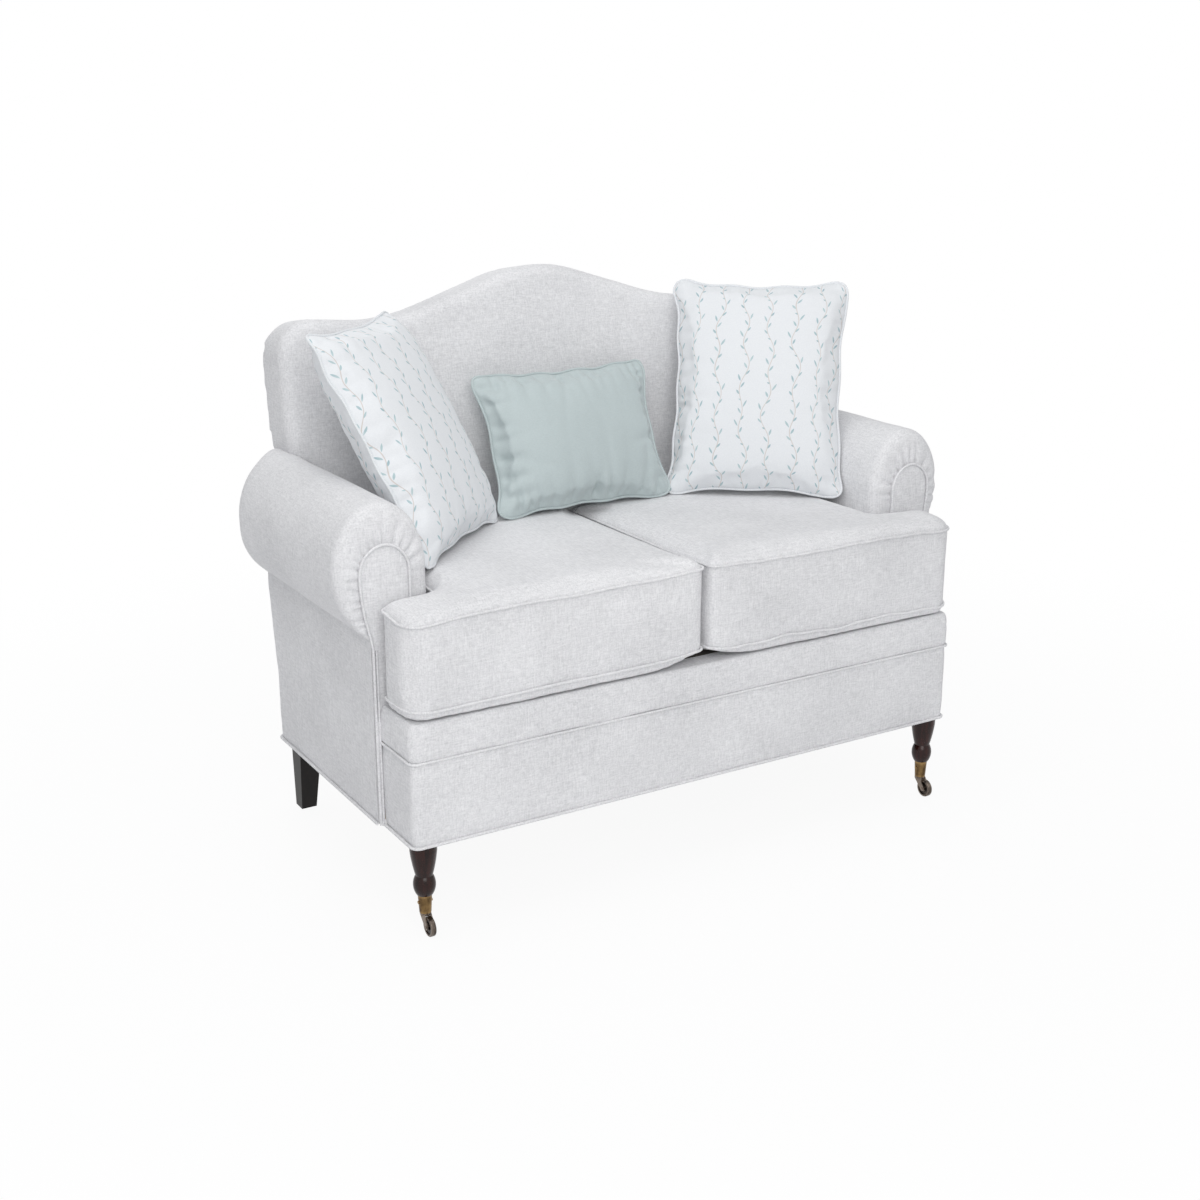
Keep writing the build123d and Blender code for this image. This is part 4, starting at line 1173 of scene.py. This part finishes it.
def build_pillow(name, node_name, slot, place, size, seed, wrinkle, gather, edge_slope):
    """Two cloths sewn round their edge and filled, with a welt in the seam."""
    width, height, depth = size
    pitch, corner = 7.0, 34.0
    side_waist, end_waist, fullness = 0.075, 0.06, 2.2
    nx, ny = int(width / pitch) // 2 * 2 + 1, int(height / pitch) // 2 * 2 + 1
    grid_a, grid_b = np.meshgrid(np.linspace(-1, 1, nx), np.linspace(-1, 1, ny))
    x = grid_a * width / 2
    y = grid_b * height / 2
    spots = np.column_stack([x.ravel(), y.ravel()]) * MM
    p = np.clip((np.abs(x) - (width / 2 - corner)) / corner, 0, 1)
    q = np.clip((np.abs(y) - (height / 2 - corner)) / corner, 0, 1)
    x = np.sign(x) * (np.minimum(np.abs(x), width / 2 - corner) + corner * p * np.sqrt(1 - q**2 / 2))
    y = np.sign(y) * (np.minimum(np.abs(y), height / 2 - corner) + corner * q * np.sqrt(1 - p**2 / 2))
    x *= 1 - side_waist * (1 - grid_b**2) * np.abs(grid_a)
    y *= 1 - end_waist * (1 - grid_a**2) * np.abs(grid_b)
    swell = (1 - np.abs(grid_a) ** fullness) * (1 - np.abs(grid_b) ** fullness)
    z = np.clip(swell, 0, 1) ** edge_slope * depth / 2
    index = np.arange(nx * ny).reshape(ny, nx)
    inner = np.zeros((ny, nx), bool)
    inner[1:-1, 1:-1] = True
    back_index = index.copy()
    back_index[inner] = nx * ny + np.arange(inner.sum())
    points = np.concatenate([
        np.column_stack([x.ravel(), y.ravel(), z.ravel()]),
        np.column_stack([x[inner], y[inner], -z[inner]]),
    ])
    random = np.random.default_rng(seed)
    points[:, 2] += random.normal(0, 0.25, len(points))
    front = np.array(quads(ny, nx))
    back = back_index.ravel()[front][:, ::-1]
    shift = 0.019 * seed % 0.05
    uvs = np.concatenate([spots[front] + shift, spots[front[:, ::-1]] + shift + 0.031])
    mesh = bpy.data.meshes.new(name)
    mesh.from_pydata((points * MM).tolist(), [], np.concatenate([front, back]).tolist())
    mesh.uv_layers.new(name="cloth").data.foreach_set("uv", uvs.ravel())
    obj = place_object(name, mesh)
    smooth_shade(obj)
    inflate(obj, pressure=3.0, frames=16, cap=11.0, bending=wrinkle)
    refine(obj)
    points = pucker(get_points(obj), get_normals(obj), width, height, gather, seed)
    points -= (points.max(0) + points.min(0)) / 2
    points *= np.array(size) / (points.max(0) - points.min(0))
    edge = np.concatenate([index[0, :], index[1:, -1], index[-1, -2::-1], index[-2:0:-1, 0]])
    ring = points[edge]
    way = np.roll(ring, -1, 0) - np.roll(ring, 1, 0)
    out = unit_rows(np.column_stack([way[:, 1], -way[:, 0]]))
    for _ in range(2):
        ring = (np.roll(ring, 1, 0) + 2 * ring + np.roll(ring, -1, 0)) / 4
    ring[:, :2] += out * 1.4
    middle, turn = place[0], np.stack(place[1:])
    set_points(obj, clear_neighbours(points @ turn + middle, 0.6))
    smooth_shade(obj)
    body = f"{node_name}_body"
    dress(obj, slot, body, node_name, fill=0.8)
    cord = tube(f"{name}_welt", clear_neighbours(ring @ turn + middle, 3.0), 2.5, closed=True)
    cord.data.uv_layers.new(name="cloth")
    dress(cord, slot, body, f"{node_name}_welt")


throw_size, lumbar_size = (340.0, 428.0, 118.0), (378.0, 272.0, 104.0)
left_place = pillow_frame(82.0 - arm_in, before_back=117.9, above_seat=190.9, turn=42.0, lean=28.0)
right_place = pillow_frame(arm_in - 95.0, before_back=109.9, above_seat=199.0, turn=-38.0, lean=23.0)
lumbar_place = pillow_frame(-2.0, before_back=31.9, above_seat=126.5, turn=0.0, lean=24.0)
throw_cloth = {"wrinkle": 0.5, "gather": 6.0, "edge_slope": 0.56}
lumbar_cloth = {"wrinkle": 0.3, "gather": 15.0, "edge_slope": 0.75}
build_pillow("left_throw_pillow", "left_pillow", "print_cloth", left_place, throw_size, 5, **throw_cloth)
build_pillow("right_throw_pillow", "right_pillow", "print_cloth", right_place, throw_size, 8, **throw_cloth)
build_pillow("lumbar_cushion", "lumbar_pillow", "sage_cloth", lumbar_place, lumbar_size, 12, **lumbar_cloth)

# Floor, light and background


def seen_directly(tree):
    """1 for the rays that show a surface, 0 for those that only take its light."""
    rays = add_node(tree, "LightPath").outputs
    seen = calc("MAXIMUM", rays["Is Camera Ray"], rays["Is Glossy Ray"])
    return calc("MAXIMUM", seen, rays["Is Transmission Ray"])


def stage_floor():
    """A floor that takes the object's shadow near it and turns to plain white further out."""
    bpy.ops.mesh.primitive_plane_add(size=14.0, location=(0, 0, 0))
    floor = bpy.context.object
    floor.name = "floor"
    material, tree, shader = new_material("floor")
    feed(shader, Base_Color=(0.86, 0.86, 0.87, 1.0), Roughness=0.9)
    glow = feed(add_node(tree, "Emission"), Color=(1.0, 1.0, 1.0, 1.0))
    away = add_node(tree, "VectorMath", object_coords(tree), operation="LENGTH").outputs["Value"]
    fade = add_node(tree, "MapRange", away, interpolation_type="SMOOTHSTEP")
    feed(fade, From_Min=0.7, From_Max=2.2, To_Min=0.93, To_Max=1.0)
    share = calc("MULTIPLY", seen_directly(tree), fade.outputs[0])
    blend = add_node(tree, "MixShader", share, shader.outputs[0], glow.outputs[0])
    feed(tree.nodes["Material Output"], Surface=blend.outputs[0])
    floor.data.materials.append(material)


def stage_world():
    world = bpy.data.worlds.new("studio")
    world.use_nodes = True
    scene.world = world
    tree = world.node_tree
    ambient = 0.485
    seen = seen_directly(tree)
    colour = mix_colour(seen, (0.97, 0.985, 1.0), (1.0, 1.0, 1.0))
    strength = calc("MULTIPLY_ADD", seen, 1.0 - ambient, ambient)
    feed(tree.nodes["Background"], Color=colour, Strength=strength)


def soft_light(name, place, target, size, power, colour):
    data = bpy.data.lights.new(name, "AREA")
    data.shape = "SQUARE"
    data.size = size
    data.energy = power
    data.color = colour
    lamp = place_object(name, data)
    lamp.location = place
    way = np.array(target) - np.array(place)
    tip = atan2(hypot(way[0], way[1]), -way[2])
    lamp.rotation_euler = (tip, 0.0, atan2(way[1], way[0]) - pi / 2)


stage_floor()
stage_world()
soft_light("key", (-1.45, -3.2, 2.2), (-0.1, 0.0, 0.5), size=2.2, power=52.0, colour=(1.0, 0.995, 0.985))
soft_light("top", (-0.7, -0.5, 3.3), (0.0, 0.0, 0.5), size=2.4, power=27.0, colour=(1.0, 1.0, 1.0))
soft_light("rear", (0.6, 3.4, 2.2), (0.0, 0.0, 0.6), size=2.2, power=24.0, colour=(1.0, 1.0, 1.0))
scene.view_settings.view_transform = "Standard"
